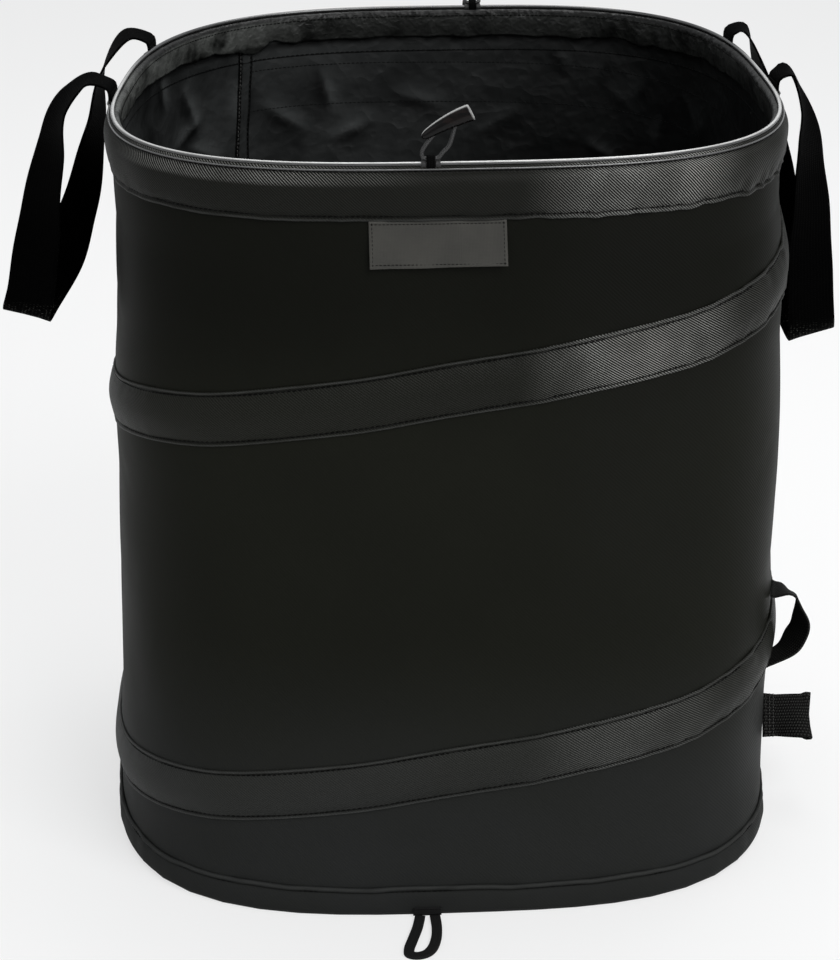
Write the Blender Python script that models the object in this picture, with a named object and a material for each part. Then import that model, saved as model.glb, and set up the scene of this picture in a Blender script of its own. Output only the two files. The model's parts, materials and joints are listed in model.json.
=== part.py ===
"""Collapsible yard waste bin: a fabric tub held open by a sewn-in spiral spring.

Metres, +Z up. The origin is the centre of the base's underside. The front faces -Y
and +X is to the viewer's right. The rim and what hangs on it slide down onto the base.
"""

import math

import bmesh
import bpy
import numpy as np
from mathutils import Matrix, Vector

# Main sizes of the tub
HEIGHT = 0.600
RIM_WIDTH = 0.520
RIM_DEPTH = 0.470
BASE_WIDTH = 0.534
BASE_DEPTH = 0.494
CORNER_POWER = 3.15

# The mouth sits a little behind the foot. Towards its back it narrows by a share of its
# width and shifts to the right, so its back left corner is the roundest.
MOUTH_BACK = 0.010
MOUTH_NARROWING = 0.14
MOUTH_SHIFT = 0.019

# How far the spring pushes the wall out between its two held edges. The skew lifts the
# fullest height, and the sway is the whole tub's lean to the right at that height.
WALL_BOW = 0.0040
WALL_BOW_SKEW = 1.5
WALL_SWAY = 0.0032

# Facets round the tub and along the spiral
STATIONS = 56
SPIRAL_TURNS = 2.0
WALL_ROWS = 8
ROD_SIDES = 6
CORD_SIDES = 8
HORN_SIDES = 12
WEB_TURNS = 6

# Clearance between pieces that touch on the real object
GAP = 0.0003

# Cloth and webbing
WALL_CLOTH = 0.0012
WALL_DROP = 0.012
TRIM_CLOTH = 0.0010
PANEL_CLOTH = 0.0015
WEBBING = 0.0016

# Rim
PIPING_RADIUS = 0.0015
PIPING_INSET = 0.0014
BAND_HEIGHT = 0.039
BAND_BULGE = 0.0056
FACING_HEIGHT = 0.029
FACING_FOLD = 0.0018
HOOP_INSET = 0.0008
HOOP_RADIUS = 0.0025
HOOP_JOINT_GAP = 0.002
FERRULE_WALL = 0.0006
FERRULE_LENGTH = 0.030

# Base hem
HEM_HEIGHT = 0.0235
HEM_BULGE = 0.0026
HEM_INNER_HEIGHT = 0.0135
HEM_REACH = 0.0088
HEM_FOLD = 0.0018
BASE_HOOP_OFFSET = -0.0029

# Spiral spring and its sewn casing
CASING_WIDTH = 0.042
CASING_EDGE = 0.0013
SPIRAL_CLIMB = 0.3135
SPIRAL_FRONT_HEIGHT = 0.1205
SPIRAL_LEAN = 0.0065
SPIRAL_EASE = 0.030
SPRING_RADIUS = 0.0016
SPRING_CAP_RADIUS = 0.0019
SPRING_CAP_LENGTH = 0.012

# Sewn seam at the back left, as a share of the way round from +X, seen from above
SEAM_PLACE = 0.366
SEAM_TAPE_WIDTH = 0.014
SEAM_TAPE_CLOTH = 0.0008

# Label
LABEL_WIDTH = 0.098
LABEL_HEIGHT = 0.034
LABEL_CENTRE_X = -0.0156
LABEL_CLOTH = 0.0008

# Top handles
HANDLE_WEBBING_WIDTH = 0.038
HANDLE_ROOT_WIDTH = 0.026
HANDLE_FRONT_Y = -0.026
HANDLE_BACK_Y = 0.116
HANDLE_RISE = 0.0065
HANDLE_TUCK = 0.018
LEFT_REACH = 0.0924
LEFT_DROP = 0.2090
RIGHT_REACH = 0.0620
RIGHT_DROP = 0.2400
STRAP_LEAD = 0.004
STRAP_TILT = 0.28
STRAP_STEPS = 3

# Side handle near the base
SIDE_HANDLE_WIDTH = 0.030
SIDE_HANDLE_Y = -0.110
SIDE_HANDLE_Z = 0.176
SIDE_HANDLE_REACH = 0.032
SIDE_HANDLE_SPAN = 0.060
SIDE_HANDLE_FLANGE = 0.011

# How far a sewn-on piece stands off the wall's flat facets
WALL_LAP = 0.0005

# Side tab loop
TAB_WIDTH = 0.038
TAB_Y = -0.078
TAB_Z = 0.076
TAB_LENGTH = 0.038
TAB_FOLD_GAP = 0.0075
TAB_LEAN = 0.60

# Toggles
TOGGLE_X = -0.0205
BACK_TOGGLE_X = 0.045
TOGGLE_CORD_RADIUS = 0.0015
TOGGLE_RADIUS = 0.0065
TOGGLE_TIP_RADIUS = 0.0038
TOGGLE_LENGTH = 0.040
TOGGLE_RAKE = 0.47
TOGGLE_STAND = 0.0245
TOGGLE_SHIFT = 0.0115
TOGGLE_DROP = 0.0215
TOGGLE_STRAND_PLACE = 0.0075
TOGGLE_SOCKET = 0.0040
TOGGLE_MOUTH = 0.0020
CORD_STEPS = 3
LOOP_WEB = 0.0012
LOOP_WIDTH = 0.006
LOOP_RUN = 0.0018

# Closure loops
CLOSURE_X = -0.024
BACK_CLOSURE_X = 0.024
CLOSURE_BAND_WIDTH = 0.0080
CLOSURE_BAND = 0.0020
CLOSURE_LENGTH = 0.060
CLOSURE_LEAN = 0.013
CLOSURE_ROOT_SPREAD = 0.0115
CLOSURE_TAB_WIDTH = 0.022
CLOSURE_TAB_HEIGHT = 0.0062

# Heights that follow from the sizes
PIPING_Z = HEIGHT - PIPING_RADIUS
RIM_TOP = PIPING_Z - PIPING_RADIUS
BAND_BOTTOM = RIM_TOP - BAND_HEIGHT
FACING_BOTTOM = RIM_TOP - FACING_HEIGHT
FERRULE_RADIUS = HOOP_RADIUS + GAP + FERRULE_WALL
TOP_HOOP_Z = RIM_TOP - TRIM_CLOTH - 2 * GAP - FERRULE_RADIUS
WALL_TOP = TOP_HOOP_Z - FERRULE_RADIUS - WALL_DROP
HEM_FLOOR = PANEL_CLOTH + GAP
HEM_INNER_FLOOR = HEM_FLOOR + TRIM_CLOTH
BOTTOM_HOOP_Z = HEM_INNER_FLOOR + GAP + FERRULE_RADIUS
WALL_BOTTOM = BOTTOM_HOOP_Z + FERRULE_RADIUS + 2 * GAP
HOOP_OFFSET = -PIPING_INSET - HOOP_INSET
FACING_BULGE = FERRULE_RADIUS + GAP + TRIM_CLOTH - HOOP_OFFSET
SPRING_OFFSET = GAP + SPRING_CAP_RADIUS
CASING_CROWN = SPRING_OFFSET + SPRING_CAP_RADIUS + GAP + TRIM_CLOTH
STRAP_OFFSET = -PIPING_INSET + PIPING_RADIUS + 2 * GAP + WEBBING / 2

FABRIC = ((0.018, 0.019, 0.016, 1.0), 0.62, 0.0)
LINING = ((0.045, 0.047, 0.045, 1.0), 0.42, 0.0)
TAPE = ((0.008, 0.008, 0.008, 1.0), 0.75, 0.0)
PIPING = ((0.20, 0.20, 0.20, 1.0), 0.25, 0.0)
STEEL = ((0.35, 0.35, 0.36, 1.0), 0.35, 1.0)
HORN = ((0.012, 0.011, 0.010, 1.0), 0.15, 0.0)
LABEL = ((0.080, 0.083, 0.078, 1.0), 0.60, 0.0)


def clear_scene():
    for obj in list(bpy.data.objects):
        bpy.data.objects.remove(obj, do_unlink=True)


def dress(obj, look):
    colour, roughness, metallic = look
    material = bpy.data.materials.new(obj.name + "_finish")
    material.use_nodes = True
    shader = material.node_tree.nodes["Principled BSDF"]
    shader.inputs["Base Color"].default_value = colour
    shader.inputs["Roughness"].default_value = roughness
    shader.inputs["Metallic"].default_value = metallic
    obj.data.materials.append(material)


def add_object(name, mesh, parent, look):
    """Links a mesh whose points are in world space under a parent empty."""
    obj = bpy.data.objects.new(name, mesh)
    bpy.context.scene.collection.objects.link(obj)
    if parent is not None:
        mesh.transform(Matrix.Translation(-world_place(parent)))
        obj.parent = parent
    dress(obj, look)
    return obj


def add_axis(name, place, parent=None):
    """An empty on a joint's axis, which carries that joint's pieces."""
    empty = bpy.data.objects.new(name, None)
    bpy.context.scene.collection.objects.link(empty)
    empty.location = place
    if parent is not None:
        empty.parent = parent
        empty.location = Vector(place) - world_place(parent)
    return empty


def world_place(empty):
    place = empty.location.copy()
    if empty.parent is not None:
        place += world_place(empty.parent)
    return place


# The tub's outline


def superellipse(angle, half_x, half_y):
    cosine = math.cos(angle)
    sine = math.sin(angle)
    share = 2.0 / CORNER_POWER
    x = half_x * math.copysign(abs(cosine) ** share, cosine)
    y = half_y * math.copysign(abs(sine) ** share, sine)
    return x, y


def make_arc_table(steps=4096):
    """Share of the way round at each angle, measured on the mean outline."""
    half_x = (RIM_WIDTH + BASE_WIDTH) / 4
    half_y = (RIM_DEPTH + BASE_DEPTH) / 4
    angles = np.linspace(0.0, 2 * math.pi, steps + 1)
    points = np.array([superellipse(angle, half_x, half_y) for angle in angles])
    lengths = np.hypot(*np.diff(points, axis=0).T)
    way = np.concatenate([[0.0], np.cumsum(lengths)])
    return angles, way / way[-1], way[-1]


ANGLES, SHARES, PERIMETER = make_arc_table()


def wall_rise(z):
    """Share of the way up from the hem to the rim band."""
    return min(max((z - HEM_HEIGHT) / (BAND_BOTTOM - HEM_HEIGHT), 0.0), 1.0)


def wall_fullness(z):
    """How full the wall is at a height: 0 at its two held edges, 1 where it is widest."""
    return math.sin(math.pi * wall_rise(z) ** WALL_BOW_SKEW)


def half_sizes(z):
    """Half width and half depth of the wall's outer face at a height."""
    rise = wall_rise(z)
    bow = WALL_BOW * wall_fullness(z)
    half_x = (BASE_WIDTH + (RIM_WIDTH - BASE_WIDTH) * rise) / 2 + bow
    half_y = (BASE_DEPTH + (RIM_DEPTH - BASE_DEPTH) * rise) / 2 + bow
    return half_x, half_y


def outward(x, y, z):
    """Direction out of the wall where the plain outline passes x and y."""
    half_x, half_y = half_sizes(z)
    power = CORNER_POWER - 1
    slope_x = math.copysign(abs(x / half_x) ** power, x) / half_x
    slope_y = math.copysign(abs(y / half_y) ** power, y) / half_y
    backness = (1 + y / half_y) / 2
    narrowing = MOUTH_NARROWING * wall_rise(z) * backness**2
    steepness = wall_rise(z) * backness / half_y
    lean = (MOUTH_SHIFT - MOUTH_NARROWING * x) * steepness
    slope_x /= 1 - narrowing
    return Vector((slope_x, slope_y - slope_x * lean, 0.0)).normalized()


STATION_ANGLES = [float(np.interp(i / STATIONS, SHARES, ANGLES)) for i in range(STATIONS)]


def at_station(index, z, offset):
    """A point on the wall's outer face at one of the stations, moved outward."""
    half_x, half_y = half_sizes(z)
    x, y = superellipse(STATION_ANGLES[index % STATIONS], half_x, half_y)
    rise = wall_rise(z)
    backness = rise * ((1 + y / half_y) / 2) ** 2
    place_x = x * (1 - MOUTH_NARROWING * backness) + MOUTH_SHIFT * backness
    place = Vector((place_x + WALL_SWAY * wall_fullness(z), y + MOUTH_BACK * rise, z))
    return place + outward(x, y, z) * offset


def on_wall(share, z, offset=0.0):
    """A point on the faceted wall between two stations, moved outward by offset."""
    place = share * STATIONS
    index = math.floor(place + 1e-9)
    before = at_station(index, z, offset)
    return before.lerp(at_station(index + 1, z, offset), max(place - index, 0.0))


def share_at(target, axis, z, low, high):
    """The share between low and high where the wall's coordinate on an axis is target."""
    sign = 1 if on_wall(high, z)[axis] > on_wall(low, z)[axis] else -1
    for _ in range(40):
        middle = (low + high) / 2
        if sign * (on_wall(middle, z)[axis] - target) < 0:
            low = middle
        else:
            high = middle
    return (low + high) / 2


def shares_between(start, stop):
    """The two ends and every station between them, leaving out slivers."""
    first = math.ceil(start * STATIONS + 0.05)
    last = math.floor(stop * STATIONS - 0.05)
    return [start, *[i / STATIONS for i in range(first, last + 1)], stop]


# Mesh makers


def add_quad(build, corners, far):
    """A strap's quad as two triangles, split the same way on its near and far face."""
    a, b, c, d = corners
    halves = ((a, b, d), (b, c, d)) if far else ((a, b, c), (a, c, d))
    for half in halves:
        build.faces.new(half)


def loft(name, rings, closed, look, parent=None, smooth=50.0, twisted=False):
    """Joins rings of points into one solid. Open lofts get flat end faces."""
    build = bmesh.new()
    rows = [[build.verts.new(point) for point in ring] for ring in rings]
    count = len(rows[0])
    last = len(rows) if closed else len(rows) - 1
    for i in range(last):
        ring, following = rows[i], rows[(i + 1) % len(rows)]
        for j in range(count):
            k = (j + 1) % count
            corners = (ring[j], ring[k], following[k], following[j])
            if twisted:
                add_quad(build, corners, j >= count // 2)
            else:
                build.faces.new(corners)
    if not closed:
        build.faces.new(rows[0])
        build.faces.new(rows[-1])
    bmesh.ops.recalc_face_normals(build, faces=build.faces)
    mesh = bpy.data.meshes.new(name)
    build.to_mesh(mesh)
    build.free()
    mesh.shade_smooth()
    mesh.set_sharp_from_angle(angle=math.radians(smooth))
    return add_object(name, mesh, parent, look)


def band_ring(share, profile):
    """One cross section of a band: profile holds (outward offset, height) pairs."""
    return [on_wall(share, z, offset) for offset, z in profile]


def cloth_profile(line, cloth):
    """The section of a folded strip of cloth, from its middle line's points."""
    points = [Vector((out, z)) for out, z in line]
    legs = [(b - a).normalized() for a, b in zip(points, points[1:])]
    near, far = [], []
    for point, before, after in zip(points, [legs[0], *legs], [*legs, legs[-1]]):
        along = (before + after).normalized()
        half = Vector((-along.y, along.x)) * cloth / 2 / along.dot(after)
        near.append(tuple(point + half))
        far.append(tuple(point - half))
    return near + far[::-1]


def hoop_band(name, profile, look, parent=None):
    rings = [band_ring(i / STATIONS, profile) for i in range(STATIONS)]
    return loft(name, rings, True, look, parent)


def circle_profile(offset, z, radius, sides=ROD_SIDES):
    turn = 2 * math.pi / sides
    return [
        (offset + radius * math.cos(turn * i), z + radius * math.sin(turn * i))
        for i in range(sides)
    ]


def smooth_path(points, steps):
    """A Catmull-Rom curve through the points, with so many steps per span."""
    known = [Vector(point) for point in points]
    known = [2 * known[0] - known[1], *known, 2 * known[-1] - known[-2]]
    path = []
    for i in range(1, len(known) - 2):
        p0, p1, p2, p3 = known[i - 1 : i + 3]
        for step in range(steps):
            t = step / steps
            path.append(
                0.5
                * (
                    2 * p1
                    + (p2 - p0) * t
                    + (2 * p0 - 5 * p1 + 4 * p2 - p3) * t**2
                    + (3 * p1 - p0 - 3 * p2 + p3) * t**3
                )
            )
    path.append(known[-2])
    return path


def tangents(path):
    ends = [path[0], *path, path[-1]]
    return [(ends[i + 2] - ends[i]).normalized() for i in range(len(path))]


def per_point(value, count):
    return list(value) if isinstance(value, (list, tuple)) else [value] * count


def ribbon(name, path, sides, width, thickness, look, parent=None):
    """A flat strap: sides holds the direction across the strap at each point."""
    widths = per_point(width, len(path))
    depths = per_point(thickness, len(path))
    rings = []
    for point, along, side, wide, deep in zip(path, tangents(path), sides, widths, depths):
        across = (side - along * side.dot(along)).normalized() * (wide / 2)
        face = along.cross(across).normalized() * (deep / 2)
        rings.append(
            [
                point - across - face,
                point - face,
                point + across - face,
                point + across + face,
                point + face,
                point - across + face,
            ]
        )
    return loft(name, rings, False, look, parent, twisted=True)


def round_cord(name, path, radius, look, parent=None, sides=CORD_SIDES):
    """A round cord along a path, with its section carried without twist."""
    along = tangents(path)
    normal = along[0].orthogonal().normalized()
    radii = per_point(radius, len(path))
    rings = []
    for point, direction, size in zip(path, along, radii):
        normal = (normal - direction * normal.dot(direction)).normalized()
        other = direction.cross(normal)
        rings.append(
            [
                point
                + (
                    normal * math.cos(2 * math.pi * i / sides)
                    + other * math.sin(2 * math.pi * i / sides)
                )
                * size
                for i in range(sides)
            ]
        )
    return loft(name, rings, False, look, parent)


def spread(values, steps):
    """Interpolates plain numbers or vectors with so many steps per span."""
    result = []
    for first, second in zip(values, values[1:]):
        for step in range(steps):
            t = step / steps
            result.append(first * (1 - t) + second * t)
    result.append(values[-1])
    return result


# Base


def make_base_panel():
    """The stiff floor: one flat sheet under the whole tub, out to the hem's face."""
    edge = [on_wall(i / STATIONS, 0.0, TRIM_CLOTH) for i in range(STATIONS)]
    lift = Vector((0.0, 0.0, PANEL_CLOTH))
    return loft("base_panel", [edge, [point + lift for point in edge]], False, FABRIC)


def make_base_hem():
    """Binding folded round the wall's lower edge, with the bottom hoop inside it."""
    half = TRIM_CLOTH / 2
    outer = HEM_BULGE - half
    inner = -HEM_REACH + half
    floor = HEM_FLOOR + half
    line = [
        (GAP + half, HEM_HEIGHT),
        (outer, HEM_HEIGHT * 0.5),
        (outer, floor + HEM_FOLD),
        (outer - HEM_FOLD, floor),
        (inner + HEM_FOLD, floor),
        (inner, floor + HEM_FOLD),
        (inner + HEM_FOLD, HEM_INNER_HEIGHT - HEM_FOLD),
        (-WALL_CLOTH - GAP - half, HEM_INNER_HEIGHT),
    ]
    return hoop_band("base_hem", cloth_profile(line, TRIM_CLOTH), FABRIC)


def make_hoop(name, offset, z, parent=None):
    """A rod bent round the tub, its two ends meeting at the middle of the back."""
    lap = HOOP_JOINT_GAP / 2 / PERIMETER
    shares = shares_between(0.25 + lap, 1.25 - lap)
    section = circle_profile(offset, z, HOOP_RADIUS)
    rings = [band_ring(share, section) for share in shares]
    return loft(name, rings, False, STEEL, parent)


def make_ferrule(name, offset, z, parent=None):
    """The crimped sleeve over the hoop's two ends: an open tube along the back."""
    half = FERRULE_LENGTH / 2 / PERIMETER
    outer = circle_profile(offset, z, FERRULE_RADIUS)
    inner = circle_profile(offset, z, HOOP_RADIUS + GAP)
    shares = shares_between(0.25 - half, 0.25 + half)
    rings_out = [band_ring(share, outer) for share in shares]
    rings_in = [band_ring(share, inner) for share in shares]
    return loft(name, rings_out + rings_in[::-1], True, STEEL, parent)


def wall_heights(bottom, top):
    """Heights of the rows of a sheet on the wall, with one at each end of its taper."""
    rise = (BAND_BOTTOM - HEM_HEIGHT) / WALL_ROWS
    return [bottom, *[HEM_HEIGHT + rise * i for i in range(WALL_ROWS + 1)], top]


def make_wall():
    heights = wall_heights(WALL_BOTTOM, WALL_TOP)
    profile = [(0.0, z) for z in heights]
    profile += [(-WALL_CLOTH, z) for z in reversed(heights)]
    return hoop_band("wall_panel", profile, FABRIC)


def make_seam_tape():
    """Binding over the wall's one upright seam, on the inner face."""
    half = SEAM_TAPE_WIDTH / 2 / PERIMETER
    bottom = HEM_INNER_HEIGHT + 2 * GAP
    top = FACING_BOTTOM - 2 * GAP
    shares = shares_between(SEAM_PLACE - half, SEAM_PLACE + half)
    inner = -WALL_CLOTH - GAP
    rings = []
    for z in wall_heights(bottom, top):
        near = [on_wall(share, z, inner) for share in shares]
        far = [on_wall(share, z, inner - SEAM_TAPE_CLOTH) for share in shares]
        rings.append(near + far[::-1])
    return loft("wall_seam_tape", rings, False, TAPE)


# Spiral


def soft_floor(value, lowest):
    return (value + lowest + math.hypot(value - lowest, SPIRAL_EASE)) / 2


def spiral_height(share):
    """Height of the spiral's middle line at a share counted on from the seam's turn."""
    climb = SPIRAL_FRONT_HEIGHT + (share - 0.75) * SPIRAL_CLIMB
    climb -= SPIRAL_LEAN * math.cos(2 * math.pi * share)
    lowest = HEM_HEIGHT + 2 * GAP + CASING_WIDTH / 2
    highest = BAND_BOTTOM - 2 * GAP - CASING_WIDTH / 2
    raised = soft_floor(climb, lowest)
    return -soft_floor(-raised, -highest)


def spiral_shares(inset):
    """Stations from end to end of the spiral, with the ends drawn in by a length."""
    inset /= PERIMETER
    return shares_between(SEAM_PLACE + inset, SEAM_PLACE + SPIRAL_TURNS - inset)


def make_spiral_casing():
    """A crowned strip sewn on by both edges, open towards the wall behind it."""
    half = CASING_WIDTH / 2
    reach = (1.0, 0.55, 0.0, -0.55, -1.0)
    rings = []
    for share in spiral_shares(0.0):
        middle = spiral_height(share)
        outer, inner = [], []
        for part in reach:
            crown = (CASING_CROWN - CASING_EDGE) * math.cos(part * math.pi / 2) ** 1.5
            offset = CASING_EDGE + crown
            outer.append(on_wall(share, middle + part * half, offset))
            inner.append(on_wall(share, middle + part * half, offset - TRIM_CLOTH))
        rings.append(outer + inner[::-1])
    return loft("spiral_casing", rings, False, FABRIC)


def make_spiral_spring():
    rings = []
    for share in spiral_shares(SPRING_CAP_LENGTH + 2 * GAP):
        section = circle_profile(SPRING_OFFSET, spiral_height(share), SPRING_RADIUS)
        rings.append(band_ring(share, section))
    return loft("spiral_spring", rings, False, STEEL)


def make_spring_cap(name, share, direction):
    """A plastic tip on the spring wire, which keeps its end from piercing the cloth."""
    rings = []
    for way, size in ((0.0, 1.0), (0.6, 1.0), (0.9, 0.75), (1.0, 0.4)):
        place = share - direction * SPRING_CAP_LENGTH * (1.0 - way) / PERIMETER
        radius = SPRING_CAP_RADIUS * size
        section = circle_profile(SPRING_OFFSET, spiral_height(place), radius)
        rings.append(band_ring(place, section))
    return loft(name, rings, False, TAPE)


def make_spring_caps():
    lap = GAP / PERIMETER
    make_spring_cap("spring_cap_lower", SEAM_PLACE + lap, -1)
    make_spring_cap("spring_cap_upper", SEAM_PLACE + SPIRAL_TURNS - lap, 1)


# Rim


def make_rim(parent):
    """The sewn rim: two folded bands over a hoop, with piping along their top seam."""
    half = TRIM_CLOTH / 2
    lip = STRAP_OFFSET + WEBBING / 2 + GAP
    line = [
        (GAP + half, BAND_BOTTOM),
        (BAND_BULGE * 0.72 - half, BAND_BOTTOM + BAND_HEIGHT * 0.34),
        (BAND_BULGE - half, BAND_BOTTOM + BAND_HEIGHT * 0.64),
        (BAND_BULGE * 0.96 - half, BAND_BOTTOM + BAND_HEIGHT * 0.84),
        (lip + half, RIM_TOP),
    ]
    hoop_band("rim_outer_band", cloth_profile(line, TRIM_CLOTH), FABRIC, parent)
    inner = half - FACING_BULGE
    top = RIM_TOP - half
    line = [
        (-WALL_CLOTH - GAP - half, FACING_BOTTOM),
        (inner + FACING_FOLD, FACING_BOTTOM + FACING_HEIGHT * 0.36),
        (inner, FACING_BOTTOM + FACING_HEIGHT * 0.70),
        (inner, top - FACING_FOLD),
        (inner + FACING_FOLD, top),
        (-PIPING_INSET - PIPING_RADIUS - 2 * GAP, top),
    ]
    hoop_band("rim_inner_facing", cloth_profile(line, TRIM_CLOTH), LINING, parent)
    section = circle_profile(-PIPING_INSET, PIPING_Z, PIPING_RADIUS)
    hoop_band("rim_piping", section, PIPING, parent)
    make_hoop("top_hoop", HOOP_OFFSET, TOP_HOOP_Z, parent)
    make_ferrule("top_hoop_ferrule", HOOP_OFFSET, TOP_HOOP_Z, parent)


def make_label():
    """A bare cloth tag, sewn on just under the rim band and hanging on the wall."""
    top = BAND_BOTTOM - 2 * GAP
    ends = [
        share_at(LABEL_CENTRE_X + LABEL_WIDTH * part, 0, top, 0.5, 1.0)
        for part in (-0.5, 0.5)
    ]
    rings = []
    for share in shares_between(*ends):
        rings.append(
            [
                on_wall(share, top, GAP),
                on_wall(share, top, GAP + LABEL_CLOTH),
                on_wall(share, top - LABEL_HEIGHT, GAP + LABEL_CLOTH),
                on_wall(share, top - LABEL_HEIGHT, GAP),
            ]
        )
    return loft("label", rings, False, LABEL)


# Top handles


def handle_roots(side):
    """The hinge points over the front and back ends of a handle, on the rim's top."""
    roots = []
    for y in (HANDLE_FRONT_Y, HANDLE_BACK_Y):
        low, high = (0.75, 1.25) if side > 0 else (0.25, 0.75)
        share = share_at(y, 1, RIM_TOP, low, high)
        roots.append((share, on_wall(share, RIM_TOP, STRAP_OFFSET)))
    return roots


def make_handle_end(name, share, axis, lift, rim):
    """A sewn end: it follows the rim in the top seam, then turns in line with the hinge."""
    half = HANDLE_ROOT_WIDTH / 2 / PERIMETER
    root = on_wall(share, RIM_TOP, STRAP_OFFSET)
    run = on_wall(share + half, RIM_TOP) - on_wall(share - half, RIM_TOP)
    along = axis * math.copysign(1.0, run.dot(axis))
    out = along.cross(Vector((0.0, 0.0, 1.0)))
    top = root + lift - Vector((0.0, 0.0, WEBBING / 2 + GAP))
    rings = []
    for place in shares_between(share - half, share + half):
        faces = []
        for face in (-WEBBING / 2, WEBBING / 2):
            low = on_wall(place, RIM_TOP - HANDLE_TUCK, STRAP_OFFSET + face)
            rim_edge = on_wall(place, RIM_TOP, STRAP_OFFSET + face)
            upper = top + along * (place - share) * PERIMETER + out * face
            faces.append([low, rim_edge, rim_edge.lerp(upper, 0.5), upper])
        rings.append(faces[0] + faces[1][::-1])
    return loft(name, rings, False, TAPE, rim)


def make_handle(name, side, route, reach, drop, rim):
    """One strap: its two sewn ends stay on the rim, the rest swings about the hinge."""
    (front_share, front), (back_share, back) = handle_roots(side)
    lift = Vector((0.0, 0.0, HANDLE_RISE + HEIGHT - RIM_TOP))
    axis = (back - front).normalized()
    make_handle_end(f"{name}_front_end", front_share, axis, lift, rim)
    make_handle_end(f"{name}_back_end", back_share, axis, lift, rim)
    pivot = add_axis(f"{name}_axis", (front + back) / 2 + lift, rim)
    start, finish = front + lift, back + lift
    out = axis.cross(Vector((0.0, 0.0, side)))
    down = Vector((0.0, 0.0, -1.0))
    hanging = [
        start.lerp(finish, way) + out * reach * far + down * drop * low
        for way, far, low in route
    ]
    lead = out * STRAP_LEAD
    across = [Vector((side * x, y, STRAP_TILT * x)) for x, y in STRAP_TURNS]
    narrow = HANDLE_ROOT_WIDTH
    full = HANDLE_WEBBING_WIDTH
    taper = (narrow + full) / 2
    widths = spread([narrow, taper, *[full] * (len(route) - 2), taper, narrow], STRAP_STEPS)
    loop = smooth_path([start + lead, *hanging, finish + lead], STRAP_STEPS)
    path = [start, *loop, finish]
    sides = [axis, *spread([axis, *across, -axis], STRAP_STEPS), -axis]
    ribbon(f"{name}_strap", path, sides, [narrow, *widths, narrow], WEBBING, TAPE, pivot)


# The strap's middle line as it hangs: share of the way from root to root, then shares of
# its reach out from the hinge and of its drop below it
LEFT_ROUTE = (
    (0.01, 0.200, -0.012),
    (0.03, 0.420, 0.072),
    (0.12, 0.600, 0.280),
    (0.19, 0.723, 0.488),
    (0.24, 0.826, 0.701),
    (0.30, 0.920, 0.892),
    (0.36, 0.995, 0.988),
    (0.42, 1.000, 1.000),
    (0.48, 0.949, 0.959),
    (0.58, 0.731, 0.797),
    (0.67, 0.619, 0.644),
    (0.76, 0.535, 0.495),
    (0.86, 0.483, 0.318),
    (0.91, 0.400, 0.100),
    (0.965, 0.200, -0.020),
)
RIGHT_ROUTE = (
    (0.01, 0.185, -0.0066),
    (0.04, 0.395, 0.0941),
    (0.10, 0.540, 0.2210),
    (0.18, 0.669, 0.4004),
    (0.26, 0.766, 0.5974),
    (0.34, 0.863, 0.8031),
    (0.42, 0.968, 0.9694),
    (0.49, 1.000, 1.0000),
    (0.56, 0.925, 0.9562),
    (0.63, 0.760, 0.7943),
    (0.71, 0.640, 0.5974),
    (0.79, 0.550, 0.4004),
    (0.87, 0.450, 0.2210),
    (0.925, 0.340, 0.0800),
    (0.98, 0.190, -0.0080),
)
# Direction across the strap at each of those points: outward and depth shares
STRAP_TURNS = (
    (0.05, 1.00),
    (0.20, 1.00),
    (0.55, 0.85),
    (0.75, 0.65),
    (0.92, 0.35),
    (1.00, 0.12),
    (1.00, 0.02),
    (1.00, 0.00),
    (1.00, -0.05),
    (0.90, -0.30),
    (0.75, -0.60),
    (0.60, -0.80),
    (0.35, -0.95),
    (0.05, -1.00),
    (-0.10, -1.00),
)


# Side handle and tab


def make_side_handle():
    """A short grab loop that stands off the wall over the lower turn of the spiral."""
    middle = SIDE_HANDLE_Z
    share = share_at(SIDE_HANDLE_Y, 1, middle, 0.75, 1.25)
    top = middle + SIDE_HANDLE_SPAN / 2
    bottom = middle - SIDE_HANDLE_SPAN / 2
    flange = SIDE_HANDLE_FLANGE
    reach = SIDE_HANDLE_REACH
    loop = (
        (0.0, top + flange),
        (0.0, top),
        (reach * 0.18, top - flange * 0.3),
        (reach * 0.60, top - flange * 0.6),
        (reach * 0.94, top - flange * 1.8),
        (reach, middle),
        (reach * 0.86, middle - flange * 1.4),
        (reach * 0.50, bottom + flange),
        (reach * 0.18, bottom + flange * 0.3),
        (0.0, bottom),
        (0.0, bottom - flange),
    )
    curve = smooth_path([Vector((out, z, 0.0)) for out, z in loop], 3)
    near, far = [], []
    for point, along in zip(curve, tangents(curve)):
        out = max(point.x, 0.0) + WALL_LAP + WEBBING / 2
        face_out, face_up = along.y * WEBBING / 2, -along.x * WEBBING / 2
        near.append((out - face_out, point.y - face_up))
        far.append((out + face_out, point.y + face_up))
    half = SIDE_HANDLE_WIDTH / 2 / PERIMETER
    shares = shares_between(share - half, share + half)
    rings = [band_ring(place, near + far[::-1]) for place in shares]
    return loft("side_handle", rings, False, TAPE)


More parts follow.
